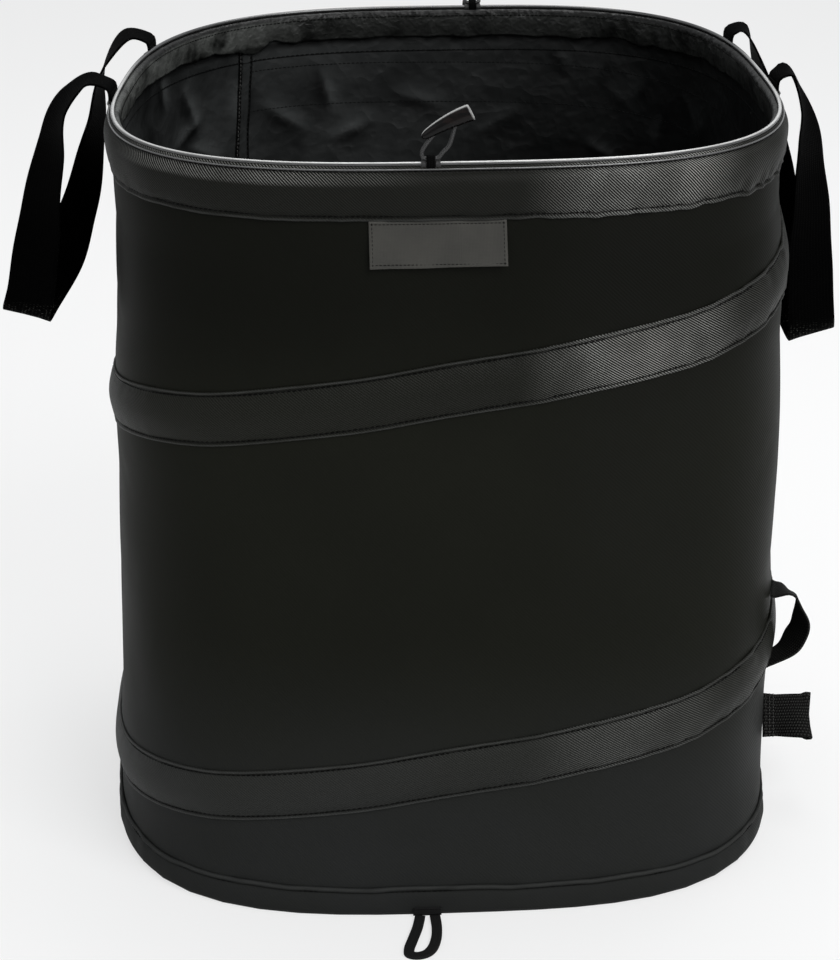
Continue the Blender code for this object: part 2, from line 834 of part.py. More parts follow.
def make_side_tab():
    """A folded webbing loop: both layers are caught in the wall, the fold stands out."""
    share = share_at(TAB_Y, 1, TAB_Z, 0.75, 1.25)
    turn = TAB_WIDTH / 2 * math.sin(TAB_LEAN) / PERIMETER
    rise = TAB_WIDTH / 2 * math.cos(TAB_LEAN)
    low = on_wall(share - turn, TAB_Z - rise, WALL_LAP)
    high = on_wall(share + turn, TAB_Z + rise, WALL_LAP)
    across = (high - low).normalized()
    out = on_wall(share, TAB_Z, 1.0) - on_wall(share, TAB_Z)
    out = (out - across * out.dot(across)).normalized()
    root = (low + high) / 2 + out * GAP
    spread_way = out.cross(across)
    shut = WEBBING / 2 + GAP
    wide = (TAB_FOLD_GAP + WEBBING) / 2
    fold = (
        (0.0, shut),
        (0.30, shut),
        (0.55, (shut + wide) / 2),
        (0.80, wide),
        (0.95, wide * 0.70),
        (1.0, 0.0),
    )
    folded = [*fold, *[(way, -off) for way, off in reversed(fold[:-1])]]
    path = [root + out * TAB_LENGTH * way + spread_way * off for way, off in folded]
    path = smooth_path(path, 3)
    return ribbon("side_tab", path, [across] * len(path), TAB_WIDTH, WEBBING, TAPE)


# Toggles


def make_anchor(name, centre, facing, rim):
    """A stitched web loop over the piping that holds the toggle's cord as a hinge."""
    inside = TOGGLE_CORD_RADIUS + GAP
    outside = inside + LOOP_WEB
    outer_leg = PIPING_RADIUS * 2 + GAP * 4
    inner_leg = PIPING_RADIUS * 2
    section = []
    for i in range(WEB_TURNS + 1):
        angle = math.pi * i / WEB_TURNS
        section.append((outside * math.cos(angle), outside * math.sin(angle)))
    section.append((-outside, -inner_leg))
    section.append((-inside, -inner_leg))
    for i in range(WEB_TURNS + 1):
        angle = math.pi * (WEB_TURNS - i) / WEB_TURNS
        section.append((inside * math.cos(angle), inside * math.sin(angle)))
    section.append((inside, -outer_leg))
    section.append((outside, -outer_leg))
    rings = []
    for x in (-LOOP_WIDTH / 2, LOOP_WIDTH / 2):
        rings.append(
            [centre + Vector((x, facing * across, up)) for across, up in section]
        )
    return loft(name, rings, False, TAPE, rim)


def toggle_hinge(x, facing):
    low, high = (0.5, 1.0) if facing < 0 else (0.0, 0.5)
    share = share_at(x, 0, RIM_TOP, low, high)
    centre = on_wall(share, HEIGHT, -PIPING_INSET)
    centre.z = HEIGHT + TOGGLE_CORD_RADIUS + 2 * GAP
    return centre


def toggle_body(name, middle, along, pivot, sockets):
    """A horn-shaped toggle with two blind sockets for the cord's ends."""
    shape = (
        (-0.50, 0.35),
        (-0.47, 0.70),
        (-0.40, 1.00),
        (-0.15, 1.30),
        (0.15, 1.60),
        (0.36, 1.71),
        (0.44, 1.45),
        (0.49, 0.90),
        (0.50, 0.35),
    )
    path = [middle + along * TOGGLE_LENGTH * way for way, _ in shape]
    sizes = [min(TOGGLE_TIP_RADIUS * size, TOGGLE_RADIUS) for _, size in shape]
    horn = round_cord(name, path, sizes, HORN, pivot, HORN_SIDES)
    for i, (seat, inward) in enumerate(sockets):
        ends = [seat - inward * 2 * TOGGLE_SOCKET, seat + inward * GAP]
        size = TOGGLE_CORD_RADIUS + GAP
        cutter = round_cord(f"{name}_cutter_{i}", ends, size, HORN, pivot)
        cutter.hide_render = True
        cutter.display_type = "WIRE"
        cut = horn.modifiers.new("socket", "BOOLEAN")
        cut.operation = "DIFFERENCE"
        cut.object = cutter


def make_toggle(name, hinge, rim, strands, middle, along):
    """A horn hung on one cord, whose two strands run into blind sockets in it.

    Each strand is its free points, counted from the hinge, and its place on the horn.
    """
    pivot = add_axis(f"{name}_axis", hinge, rim)
    centre = hinge + Vector(middle)
    halves, sockets = [], []
    for free, place in strands:
        points = [hinge + Vector(point) for point in free]
        foot = centre + along * place
        inward = (foot - points[-1]).normalized()
        seat = foot - inward * (TOGGLE_RADIUS - TOGGLE_SOCKET)
        mouth = foot - inward * (TOGGLE_RADIUS + TOGGLE_MOUTH)
        halves.append((points + [mouth], seat))
        sockets.append((seat, inward))
    (first, first_seat), (second, second_seat) = halves
    run = smooth_path([*reversed(first), hinge, *second], CORD_STEPS)
    path = [first_seat, *run, second_seat]
    round_cord(f"{name}_cord", path, TOGGLE_CORD_RADIUS, TAPE, pivot)
    toggle_body(f"{name}_horn", centre, along, pivot, sockets)


def make_front_toggle(rim):
    """The front toggle stands up on its two strands, as it is left after use."""
    hinge = toggle_hinge(TOGGLE_X, -1)
    run = LOOP_RUN
    clear = LOOP_WIDTH / 2 + GAP + TOGGLE_CORD_RADIUS
    left = (
        (-run, 0.0, 0.0),
        (-clear - 0.0008, 0.0, 0.0010),
        (-clear - 0.0014, 0.0, 0.0050),
        (-clear + 0.0006, 0.0, 0.0090),
    )
    right = (
        (run, 0.0, 0.0),
        (clear + 0.0006, 0.0, 0.0008),
        (clear + 0.0036, 0.0, 0.0044),
        (clear + 0.0080, 0.0, 0.0094),
    )
    along = Vector((math.cos(TOGGLE_RAKE), 0.0, math.sin(TOGGLE_RAKE)))
    strands = ((left, -TOGGLE_STRAND_PLACE), (right, TOGGLE_STRAND_PLACE))
    middle = (TOGGLE_SHIFT, 0.0, TOGGLE_STAND)
    make_toggle("toggle_front", hinge, rim, strands, middle, along)
    make_anchor("toggle_front_anchor", hinge, -1, rim)


def make_back_toggle(rim):
    """The back toggle hangs down outside the rim band."""
    hinge = toggle_hinge(BACK_TOGGLE_X, 1)
    run = LOOP_RUN
    clear = LOOP_WIDTH / 2 + GAP + TOGGLE_CORD_RADIUS
    out = PIPING_INSET + BAND_BULGE + TOGGLE_RADIUS + WALL_LAP * 2
    strands = []
    for side in (-1, 1):
        free = (
            (side * run, 0.0, 0.0),
            (side * (clear + 0.0006), 0.0010, 0.0004),
            (side * (clear + 0.0010), 0.0050, 0.0014),
            (side * (clear + 0.0012), out * 0.75, -0.0006),
            (side * (clear + 0.0012), out, -0.0050),
        )
        strands.append((free, side * (clear + 0.0012)))
    middle = (0.0, out, -TOGGLE_DROP)
    make_toggle("toggle_back", hinge, rim, strands, middle, Vector((1.0, 0.0, 0.0)))
    make_anchor("toggle_back_anchor", hinge, 1, rim)


# Closure loops on the base


def make_closure_tab(name, x, y, facing):
    """The sewn root of a closure loop, low on the hem's outer face."""
    low = CLOSURE_BAND / 2
    rings = []
    for part in (-0.5, 0.5):
        edge = Vector((x + CLOSURE_TAB_WIDTH * part, y, low))
        out = Vector((0.0, facing * CLOSURE_BAND, 0.0))
        up = Vector((0.0, 0.0, CLOSURE_TAB_HEIGHT))
        rings.append([edge, edge + out, edge + out + up, edge + up])
    return loft(name, rings, False, TAPE)


# A closure loop's middle line: places across the root spread and along the length
CLOSURE_LINE = (
    (-0.50, 0.00),
    (-0.57, 0.10),
    (-0.69, 0.30),
    (-0.81, 0.55),
    (-0.77, 0.79),
    (-0.54, 0.90),
    (0.00, 0.94),
    (0.53, 0.90),
    (0.75, 0.79),
    (0.74, 0.54),
    (0.62, 0.28),
    (0.53, 0.10),
    (0.50, 0.00),
)
# The rounded root end, in half thicknesses behind the hinge and shares of the thickness
CLOSURE_NOSE = ((0.98, 0.2), (0.70, 0.70))


def make_closure(name, x, facing):
    """An elastic loop that lies on the floor and hooks up over the rim's toggle."""
    low, high = (0.5, 1.0) if facing < 0 else (0.0, 0.5)
    y = on_wall(share_at(x, 0, 0.0, low, high), 0.0, HEM_BULGE + GAP).y
    make_closure_tab(f"{name}_tab", x, y, facing)
    out = facing * (CLOSURE_BAND * 1.5 + GAP)
    hinge = Vector((x, y + out, GAP + CLOSURE_BAND / 2))
    pivot = add_axis(f"{name}_axis", hinge)
    points = []
    for across, way in CLOSURE_LINE:
        shift = CLOSURE_ROOT_SPREAD * across - CLOSURE_LEAN * way * way
        place = Vector((shift, -CLOSURE_LENGTH * way, 0.0))
        points.append(hinge - facing * place)
    back = Vector((0.0, -facing * CLOSURE_BAND / 2, 0.0))
    line = smooth_path(points, 3)
    start = [line[0] + back * reach for reach, _ in CLOSURE_NOSE]
    finish = [line[-1] + back * reach for reach, _ in reversed(CLOSURE_NOSE)]
    nose = [CLOSURE_BAND * share for _, share in CLOSURE_NOSE]
    depths = [*nose, *[CLOSURE_BAND] * len(line), *reversed(nose)]
    path = [*start, *line, *finish]
    up = Vector((0.0, 0.0, 1.0))
    sides = [up.cross(along) for along in tangents(path)]
    ribbon(f"{name}_band", path, sides, CLOSURE_BAND_WIDTH, depths, TAPE, pivot)


def main():
    clear_scene()
    make_base_panel()
    make_base_hem()
    make_hoop("bottom_hoop", BASE_HOOP_OFFSET, BOTTOM_HOOP_Z)
    make_ferrule("bottom_hoop_ferrule", BASE_HOOP_OFFSET, BOTTOM_HOOP_Z)
    make_wall()
    make_seam_tape()
    make_spiral_casing()
    make_spiral_spring()
    make_spring_caps()
    make_label()
    make_side_handle()
    make_side_tab()
    make_closure("closure_front", CLOSURE_X, -1)
    make_closure("closure_back", BACK_CLOSURE_X, 1)
    rim = add_axis("collapse_axis", Vector((0.0, 0.0, HEIGHT)))
    make_rim(rim)
    make_handle("handle_left", -1, LEFT_ROUTE, LEFT_REACH, LEFT_DROP, rim)
    make_handle("handle_right", 1, RIGHT_ROUTE, RIGHT_REACH, RIGHT_DROP, rim)
    make_front_toggle(rim)
    make_back_toggle(rim)


main()
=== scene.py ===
"""Looks for a collapsible yard waste bin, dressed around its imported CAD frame.

Metres, +Z up, the front of the bin faces -Y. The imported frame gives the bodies, the joints and
the hard pieces. Every soft piece is made here as cloth, webbing, cord or thread.
"""

import json
import logging
import math
from dataclasses import dataclass
from enum import Enum
from typing import Any, Sequence

import bpy
import numpy as np
from mathutils import Matrix, Vector

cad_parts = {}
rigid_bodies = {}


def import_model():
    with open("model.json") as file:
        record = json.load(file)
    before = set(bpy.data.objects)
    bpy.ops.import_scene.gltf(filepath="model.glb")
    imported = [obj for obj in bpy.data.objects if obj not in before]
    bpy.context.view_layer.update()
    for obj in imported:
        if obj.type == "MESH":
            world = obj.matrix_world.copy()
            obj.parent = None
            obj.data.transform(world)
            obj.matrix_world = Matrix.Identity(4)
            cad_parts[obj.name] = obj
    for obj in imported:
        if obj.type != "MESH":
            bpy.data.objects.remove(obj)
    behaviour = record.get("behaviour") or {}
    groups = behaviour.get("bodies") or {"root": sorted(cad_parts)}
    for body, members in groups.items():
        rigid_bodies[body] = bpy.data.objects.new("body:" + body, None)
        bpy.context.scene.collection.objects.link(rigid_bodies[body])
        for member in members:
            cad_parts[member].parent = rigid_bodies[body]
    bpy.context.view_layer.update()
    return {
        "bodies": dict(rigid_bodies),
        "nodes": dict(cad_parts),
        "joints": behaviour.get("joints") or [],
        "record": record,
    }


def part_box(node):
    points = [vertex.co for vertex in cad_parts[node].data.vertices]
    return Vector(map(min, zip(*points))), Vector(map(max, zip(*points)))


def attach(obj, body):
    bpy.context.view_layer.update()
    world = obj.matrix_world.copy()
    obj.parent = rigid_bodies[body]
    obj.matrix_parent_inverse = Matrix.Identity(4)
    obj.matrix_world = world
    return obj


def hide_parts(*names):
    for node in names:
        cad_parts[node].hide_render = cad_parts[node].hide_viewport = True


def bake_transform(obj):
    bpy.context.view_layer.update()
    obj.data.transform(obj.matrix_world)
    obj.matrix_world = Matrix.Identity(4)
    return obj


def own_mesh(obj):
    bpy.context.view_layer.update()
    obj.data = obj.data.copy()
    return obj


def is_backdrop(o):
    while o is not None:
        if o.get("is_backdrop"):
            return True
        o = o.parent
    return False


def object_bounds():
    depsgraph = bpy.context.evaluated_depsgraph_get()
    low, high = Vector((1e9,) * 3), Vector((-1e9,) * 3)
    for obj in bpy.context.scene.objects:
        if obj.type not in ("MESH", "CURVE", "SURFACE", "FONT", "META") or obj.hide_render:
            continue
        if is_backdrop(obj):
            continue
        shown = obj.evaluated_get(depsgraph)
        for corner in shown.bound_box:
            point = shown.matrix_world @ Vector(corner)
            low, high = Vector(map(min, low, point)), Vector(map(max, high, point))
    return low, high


LOG = logging.getLogger("yard_bin")
TURN = 2 * math.pi
UP = np.array([0.0, 0.0, 1.0])

Array = np.ndarray
Colour = tuple[float, float, float]
Inputs = dict[Any, Any]
Material = bpy.types.Material
Object = bpy.types.Object
Pairs = Sequence[tuple[float, float]]
Socket = bpy.types.NodeSocket
Triples = Sequence[tuple[float, float, float]]


class Facing(Enum):
    """The side of the bin that a paired piece is on, as the sign of its Y."""

    FRONT = -1
    BACK = 1


class Side(Enum):
    """The side of the bin that a handle is on, as the sign of its X."""

    LEFT = -1
    RIGHT = 1


@dataclass(frozen=True)
class Sizes:
    """The sizes that the bin shares with its CAD solids."""

    rim_width: float = 0.520
    rim_depth: float = 0.470
    base_width: float = 0.534
    base_depth: float = 0.494
    bow: float = 0.0040
    bow_skew: float = 1.5
    sway: float = 0.0032
    mouth_back: float = 0.010
    mouth_narrowing: float = 0.14
    mouth_shift: float = 0.019
    corner_power: float = 3.15
    hem_top: float = 0.0235
    band_bottom: float = 0.558
    rim_top: float = 0.597
    wall_bottom: float = 0.0105
    wall_top: float = 0.5820
    facing_bottom: float = 0.5735
    travel: float = 0.520
    webbing: float = 0.0016
    cloth: float = 0.0009
    binding: float = 0.0006
    thread_lift: float = 0.00015

    @property
    def keep(self) -> float:
        """The share of its height that the wall keeps when the bin is shut."""
        return (self.rim_top - self.travel) / self.rim_top

    @property
    def on_webbing(self) -> float:
        """How far a row of stitches stands off the middle of a strap's thickness."""
        return self.webbing / 2 + self.thread_lift


SIZES = Sizes()


def way_along(points: Array) -> Array:
    """Metres from the first point to each."""
    return np.r_[0.0, np.cumsum(np.linalg.norm(np.diff(points, axis=0), axis=1))]


class Outline:
    """The tub's plan outline: a rounded rectangle that tapers to the rim and bows out between."""

    def __init__(self, sizes: Sizes) -> None:
        """Measures the share of the way round at each angle of the mean outline.

        Args:
            sizes: The bin's sizes.
        """
        self.sizes = sizes
        self.angles = np.linspace(0.0, TURN, 4097)
        half_x = (sizes.rim_width + sizes.base_width) / 4
        half_y = (sizes.rim_depth + sizes.base_depth) / 4
        way = way_along(np.stack(self.curve(self.angles, half_x, half_y), -1))
        self.perimeter = float(way[-1])
        self.shares = way / way[-1]

    def curve(self, angle: Array, half_x: Array, half_y: Array) -> tuple[Array, Array]:
        """The outline's x and y at an angle.

        Args:
            angle: Angle on the outline.
            half_x: Half its width.
            half_y: Half its depth.

        Returns:
            The x and the y.
        """
        power = 2.0 / self.sizes.corner_power
        x, y = (np.sign(part) * np.abs(part) ** power for part in (np.cos(angle), np.sin(angle)))
        return half_x * x, half_y * y

    def place(self, share: Array, z: Array, offset: Array = 0.0) -> Array:
        """Points on the wall's outer face.

        Args:
            share: Share of the way round from +X, counted over the front last.
            z: Height of each point.
            offset: How far each point stands out from the face.

        Returns:
            An array with one more axis, of length three.
        """
        s = self.sizes
        share, z, offset = np.broadcast_arrays(*(np.asarray(part, float) for part in (share, z, offset)))
        rise = np.clip((z - s.hem_top) / (s.band_bottom - s.hem_top), 0.0, 1.0)
        full = np.sin(math.pi * rise**s.bow_skew)
        half_x = (s.base_width + (s.rim_width - s.base_width) * rise) / 2 + s.bow * full
        half_y = (s.base_depth + (s.rim_depth - s.base_depth) * rise) / 2 + s.bow * full
        x, y = self.curve(np.interp(np.mod(share, 1.0), self.shares, self.angles), half_x, half_y)
        power = s.corner_power - 1
        back = (1 + y / half_y) / 2
        narrowed = 1 - s.mouth_narrowing * rise * back**2
        lean = (s.mouth_shift - s.mouth_narrowing * x) * rise * back / half_y
        out_x = np.sign(x) * np.abs(x / half_x) ** power / half_x / narrowed
        out_y = np.sign(y) * np.abs(y / half_y) ** power / half_y - out_x * lean
        reach = offset / np.hypot(out_x, out_y)
        x = x * narrowed + s.mouth_shift * rise * back**2 + s.sway * full
        return np.stack([x + out_x * reach, y + s.mouth_back * rise + out_y * reach, z], -1)

    def share_at(self, target: float, axis: int, z: float, low: float, high: float) -> float:
        """The share between two others where the wall's X, axis 0, or Y, axis 1, is the target."""
        tries = np.linspace(low, high, 4001)
        return float(tries[np.argmin(np.abs(self.place(tries, z)[:, axis] - target))])

    def ring(self, count: int) -> tuple[Array, Array, Array]:
        """Shares and metres at so many stations round the tub, and metres with the closing one."""
        way = np.arange(count + 1) / count * self.perimeter
        return np.arange(count) / count, way[:-1], way

    def frame(self, share: float, z: float) -> tuple[Array, Array]:
        """The level direction along the wall at a place, and the one out of it.

        Args:
            share: Share of the way round.
            z: Height.

        Returns:
            The two directions.
        """
        step = 0.002
        side = unit(self.place(share + step, z) - self.place(share - step, z))
        return side, unit(self.place(share, z, 1.0) - self.place(share, z))


OUTLINE = Outline(SIZES)


@dataclass(frozen=True)
class Spiral:
    """The path of the sewn-in spring: two turns that climb to the right across the front."""

    climb: float = 0.3135
    front_height: float = 0.1205
    lean: float = 0.0065
    ease: float = 0.030
    start: float = 0.366
    turns: float = 2.0
    width: float = 0.042
    gap: float = 0.0006

    @property
    def end(self) -> float:
        """The share at the spiral's upper end."""
        return self.start + self.turns

    def height(self, share: Array) -> Array:
        """Height of the spiral's middle line at a share counted on through its turns.

        Args:
            share: Share of the way round.

        Returns:
            The height at each share.
        """
        climb = self.front_height + (share - 0.75) * self.climb - self.lean * np.cos(TURN * share)
        half = self.gap + self.width / 2
        return -self.eased(-self.eased(climb, SIZES.hem_top + half), half - SIZES.band_bottom)

    def eased(self, value: Array, lowest: float) -> Array:
        """Eases a value off as it nears its lowest."""
        return (value + lowest + np.hypot(value - lowest, self.ease)) / 2


SPIRAL = Spiral()


def link(obj: Object) -> Object:
    """Puts an object in the scene."""
    bpy.context.scene.collection.objects.link(obj)
    return obj


def make_grid(
    name: str, points: Array, ways: tuple[Array, Array], closed: tuple[bool, bool] = (False, False),
    flip: bool = False, caps: bool = False,
) -> Object:
    """A smooth mesh over rows of points, with a UV map in metres.

    Args:
        name: The piece's name.
        points: Array of rows by columns by three.
        ways: Metres along the rows and along the columns, one more where closed.
        closed: Whether the rows and the columns join up.
        flip: Whether to turn the faces round.
        caps: Whether the first and the last row are filled, flat.

    Returns:
        The linked object.
    """
    rows, columns = points.shape[:2]
    spans = (np.arange(count if joined else count - 1) for count, joined in zip((rows, columns), closed))
    i, j = (part.ravel() for part in np.meshgrid(*spans, indexing="ij"))
    corners = [(i, j), (i + 1, j), (i + 1, j + 1), (i, j + 1)][:: -1 if flip else 1]
    faces = np.stack([(a % rows) * columns + b % columns for a, b in corners], -1).tolist()
    uv = np.stack([np.stack([ways[0][a], ways[1][b]], -1) for a, b in corners], 1).reshape(-1, 2)
    sides, last = len(faces), rows * columns
    if caps:
        faces += [list(range(columns)), list(range(last - columns, last))[::-1]]
        uv = np.concatenate([uv, np.repeat(uv[:1], 2 * columns, 0)])
    mesh = bpy.data.meshes.new(name)
    mesh.from_pydata(points.reshape(-1, 3).tolist(), [], faces)
    mesh.uv_layers.new(name="weave").data.foreach_set("uv", uv.astype(np.float32).ravel())
    mesh.shade_smooth()
    for index in range(sides, len(faces)):
        mesh.polygons[index].use_smooth = False
    return link(bpy.data.objects.new(name, mesh))


def mark(obj: Object, name: str, values: Array) -> None:
    """Stores numbers that the piece's material reads, one for each point or for each of a row's.

    Args:
        obj: The piece.
        name: The attribute's name.
        values: The numbers.
    """
    attribute = obj.data.attributes.new(name, "FLOAT", "POINT")
    numbers = np.resize(np.asarray(values, np.float32), len(obj.data.vertices))
    attribute.data.foreach_set("value", numbers)


def settle(obj: Object) -> Object:
    """Turns an object with modifiers into one plain mesh under the same name.

    Args:
        obj: The object.

    Returns:
        The plain mesh object.
    """
    graph = bpy.context.evaluated_depsgraph_get()
    mesh = bpy.data.meshes.new_from_object(obj.evaluated_get(graph), depsgraph=graph)
    name = obj.name
    bpy.data.objects.remove(obj)
    return link(bpy.data.objects.new(name, mesh))


def thicken(obj: Object, thickness: float, offset: float = -1.0, inner: int = 0) -> Object:
    """Gives a sheet its thickness.

    Args:
        obj: The sheet.
        thickness: The cloth's thickness.
        offset: -1 grows it inward from its face, 1 outward.
        inner: How many slots later the inner face's material is.

    Returns:
        The plain mesh object.
    """
    solid = obj.modifiers.new("thickness", "SOLIDIFY")
    solid.thickness = thickness
    solid.offset = offset
    solid.material_offset = inner
    solid.use_even_offset = False
    return settle(obj)


def unit(values: Array) -> Array:
    """Each vector at length one."""
    return values / np.maximum(np.linalg.norm(values, axis=-1, keepdims=True), 1e-12)


def tangents(points: Array) -> Array:
    """The direction of a line of points at each."""
    ends = np.concatenate([points[:1], points, points[-1:]])
    return unit(ends[2:] - ends[:-2])


def curve_through(points: Array, spacing: float) -> Array:
    """An even run of points on a smooth curve through the given ones.

    Args:
        points: The points that the curve passes, each with any further numbers that it carries.
        spacing: Distance between the new points.

    Returns:
        The new points, with the further numbers at each.
    """
    known = np.asarray(points, float)
    known = np.concatenate([[2 * known[0] - known[1]], known, [2 * known[-1] - known[-2]]])
    spans = np.linalg.norm(np.diff(known[:, :3], axis=0), axis=1) ** 0.5
    time = np.r_[0.0, np.cumsum(np.maximum(spans, 1e-6))]
    pieces = []
    for i in range(1, len(known) - 2):
        t = np.linspace(time[i], time[i + 1], 24, endpoint=False)[:, None]
        p, s = known[i - 1 : i + 3], time[i - 1 : i + 3]
        a = [(p[k] * (s[k + 1] - t) + p[k + 1] * (t - s[k])) / (s[k + 1] - s[k]) for k in range(3)]
        b = [(a[k] * (s[k + 2] - t) + a[k + 1] * (t - s[k])) / (s[k + 2] - s[k]) for k in range(2)]
        pieces.append((b[0] * (s[2] - t) + b[1] * (t - s[1])) / (s[2] - s[1]))
    dense = np.concatenate([*pieces, [known[-2]]])
    way = way_along(dense[:, :3])
    marks = np.linspace(0.0, way[-1], max(int(round(way[-1] / spacing)), 2) + 1)
    return np.stack([np.interp(marks, way, column) for column in dense.T], -1)


def profile_line(pairs: Pairs, spacing: float) -> tuple[Array, Array, Array]:
    """Offset, height and metres along a smooth cloth profile, from pairs of offset and height."""
    line = curve_through([(*pair, 0.0) for pair in pairs], spacing)
    return line[:, 0], line[:, 1], way_along(line)


def strap_section(steps: int = 8, roll: int = 3, nose: float = 0.012) -> Array:
    """A flat section with its edges rounded by nose: shares of the width and the thickness.

    Args:
        steps: Steps across the flat.
        roll: Points round each edge.
        nose: How far each edge stands out, as a share of the width.

    Returns:
        The section's points.
    """
    across = np.linspace(-0.5, 0.5, steps + 1)
    turn = np.linspace(0.0, math.pi, roll + 2)[1:-1]
    top = np.stack([across, np.full(steps + 1, 0.5)], -1)
    right = np.stack([0.5 + nose * np.sin(turn), 0.5 * np.cos(turn)], -1)
    return np.concatenate([top, right, top[::-1] * (1, -1), right * (-1, -1)])


def round_section(sides: int) -> Array:
    """A round section of the same form, for cords."""
    turn = np.linspace(0.0, TURN, sides, endpoint=False)
    return np.stack([0.5 * np.sin(turn), 0.5 * np.cos(turn)], -1)


def sweep(name: str, path: Array, across: Array, section: Array, width: Array, depth: Array) -> Object:
    """A strap or a cord: a section carried along a path.

    Args:
        name: The piece's name.
        path: The points of its middle line.
        across: The direction across it, one or at each point.
        section: Pairs of shares, as strap_section and round_section give.
        width: Size across, one or at each point.
        depth: Thickness, one or at each point.

    Returns:
        The linked object, closed at its ends.
    """
    along = tangents(path)
    side = unit(across - along * np.sum(across * along, -1, keepdims=True))
    sizes = np.stack(np.broadcast_arrays(width, depth, along[:, 0])[:2], -1)
    spread = section * sizes[:, None]
    face = np.cross(side, along)
    points = path[:, None] + side[:, None] * spread[..., :1] + face[:, None] * spread[..., 1:]
    ring = way_along(np.concatenate([section, section[:1]]) * sizes.mean(0))
    return make_grid(name, points, (way_along(path), ring), (False, True), caps=True)


def smooth(value: Array, low: float, high: float) -> Array:
    """A soft step from 0 at low to 1 at high."""
    t = np.clip((value - low) / (high - low), 0.0, 1.0)
    return t * t * (3 - 2 * t)


def peak(value: Array, middle: float, half: float) -> Array:
    """1 where a value is at the middle, falling to 0 at half a width from it."""
    return np.clip(1 - np.abs(value - middle) / half, 0, 1)


def hump(value: Array, middle: float, width: float) -> Array:
    """A soft hump of height 1."""
    return np.exp(-(((value - middle) / width) ** 2))


def ripple(way: Array, seed: int, *waves: tuple[float, float]) -> Array:
    """A sum of sine waves with seeded phases.

    Args:
        way: Metres along.
        seed: Seed of the phases.
        *waves: Wavelength and height of each.

    Returns:
        The height at each place.
    """
    phases = np.random.default_rng(seed).uniform(0, TURN, len(waves))
    total = np.zeros_like(way)
    for (length, height), phase in zip(waves, phases):
        turns = max(round(OUTLINE.perimeter / length), 1)
        total = total + height * np.sin(TURN * turns * way / OUTLINE.perimeter + phase)
    return total


class Nodes:
    """A node tree whose nodes are all added by one method."""

    tree: bpy.types.NodeTree

    def node(self, kind: str, settings: Inputs | None = None, inputs: Inputs | None = None) -> Any:
        """Adds a node.

        Args:
            kind: The node's type.
            settings: Its properties, set first.
            inputs: Values or links for its sockets.

        Returns:
            The node.
        """
        made = self.tree.nodes.new(kind)
        for key, value in (settings or {}).items():
            setattr(made, key, value)
        for key, value in (inputs or {}).items():
            value = value.socket if isinstance(value, Value) else value
            if isinstance(value, Socket):
                self.tree.links.new(value, made.inputs[key])
            else:
                made.inputs[key].default_value = value
        return made


class LineTree(Nodes):
    """A Geometry Nodes tree that follows lines of edges and ends in one plain mesh."""

    sizes: tuple[str, ...]

    def __init__(self, name: str) -> None:
        """Opens a tree with geometry, named sizes and a finish, and ends it in real geometry.

        Args:
            name: The tree's name.
        """
        self.tree = bpy.data.node_groups.new(name, "GeometryNodeTree")
        kinds = [("Geometry", "Geometry"), *((size, "Float") for size in self.sizes), ("Finish", "Material")]
        for label, kind in kinds:
            self.tree.interface.new_socket(label, in_out="INPUT", socket_type=f"NodeSocket{kind}")
        self.tree.interface.new_socket("Geometry", in_out="OUTPUT", socket_type="NodeSocketGeometry")
        source = self.node("NodeGroupInput").outputs
        curve = self.node("GeometryNodeMeshToCurve", inputs={0: source["Geometry"]})
        laid = self.build(curve.outputs[0], source)
        real = self.node("GeometryNodeRealizeInstances", inputs={0: laid})
        even = self.node("GeometryNodeSetShadeSmooth", inputs={0: real.outputs[0]})
        finish = {"Geometry": even.outputs[0], "Material": source["Finish"]}
        dressed = self.node("GeometryNodeSetMaterial", inputs=finish)
        self.node("NodeGroupOutput", inputs={0: dressed.outputs[0]})

    def build(self, curve: Socket, source: Any) -> Socket:
        """Lays the tree's own geometry on the curve, from the sizes among its source's sockets."""
        raise NotImplementedError

    def run(
        self, name: str, lines: Sequence[Array], finish: Material, closed: bool, **sizes: float
    ) -> Object:
        """Runs the tree along lines of points.

        Args:
            name: The new piece's name.
            lines: The lines that it follows.
            finish: Its material.
            closed: Whether the lines join up.
            **sizes: The tree's number inputs.

        Returns:
            One plain mesh object.
        """
        points, edges = [], []
        for line in lines:
            first = len(points)
            points.extend(tuple(map(float, point)) for point in line)
            edges.extend((k, k + 1) for k in range(first, len(points) - 1))
            if closed:
                edges.append((len(points) - 1, first))
        mesh = bpy.data.meshes.new(name)
        mesh.from_pydata(points, edges, [])
        obj = link(bpy.data.objects.new(name, mesh))
        modifier = obj.modifiers.new("tree", "NODES")
        modifier.node_group = self.tree
        wanted = {**sizes, "Finish": finish}
        for item in self.tree.interface.items_tree:
            if item.in_out == "INPUT" and item.name in wanted:
                modifier[item.identifier] = wanted[item.name]
        return settle(obj)


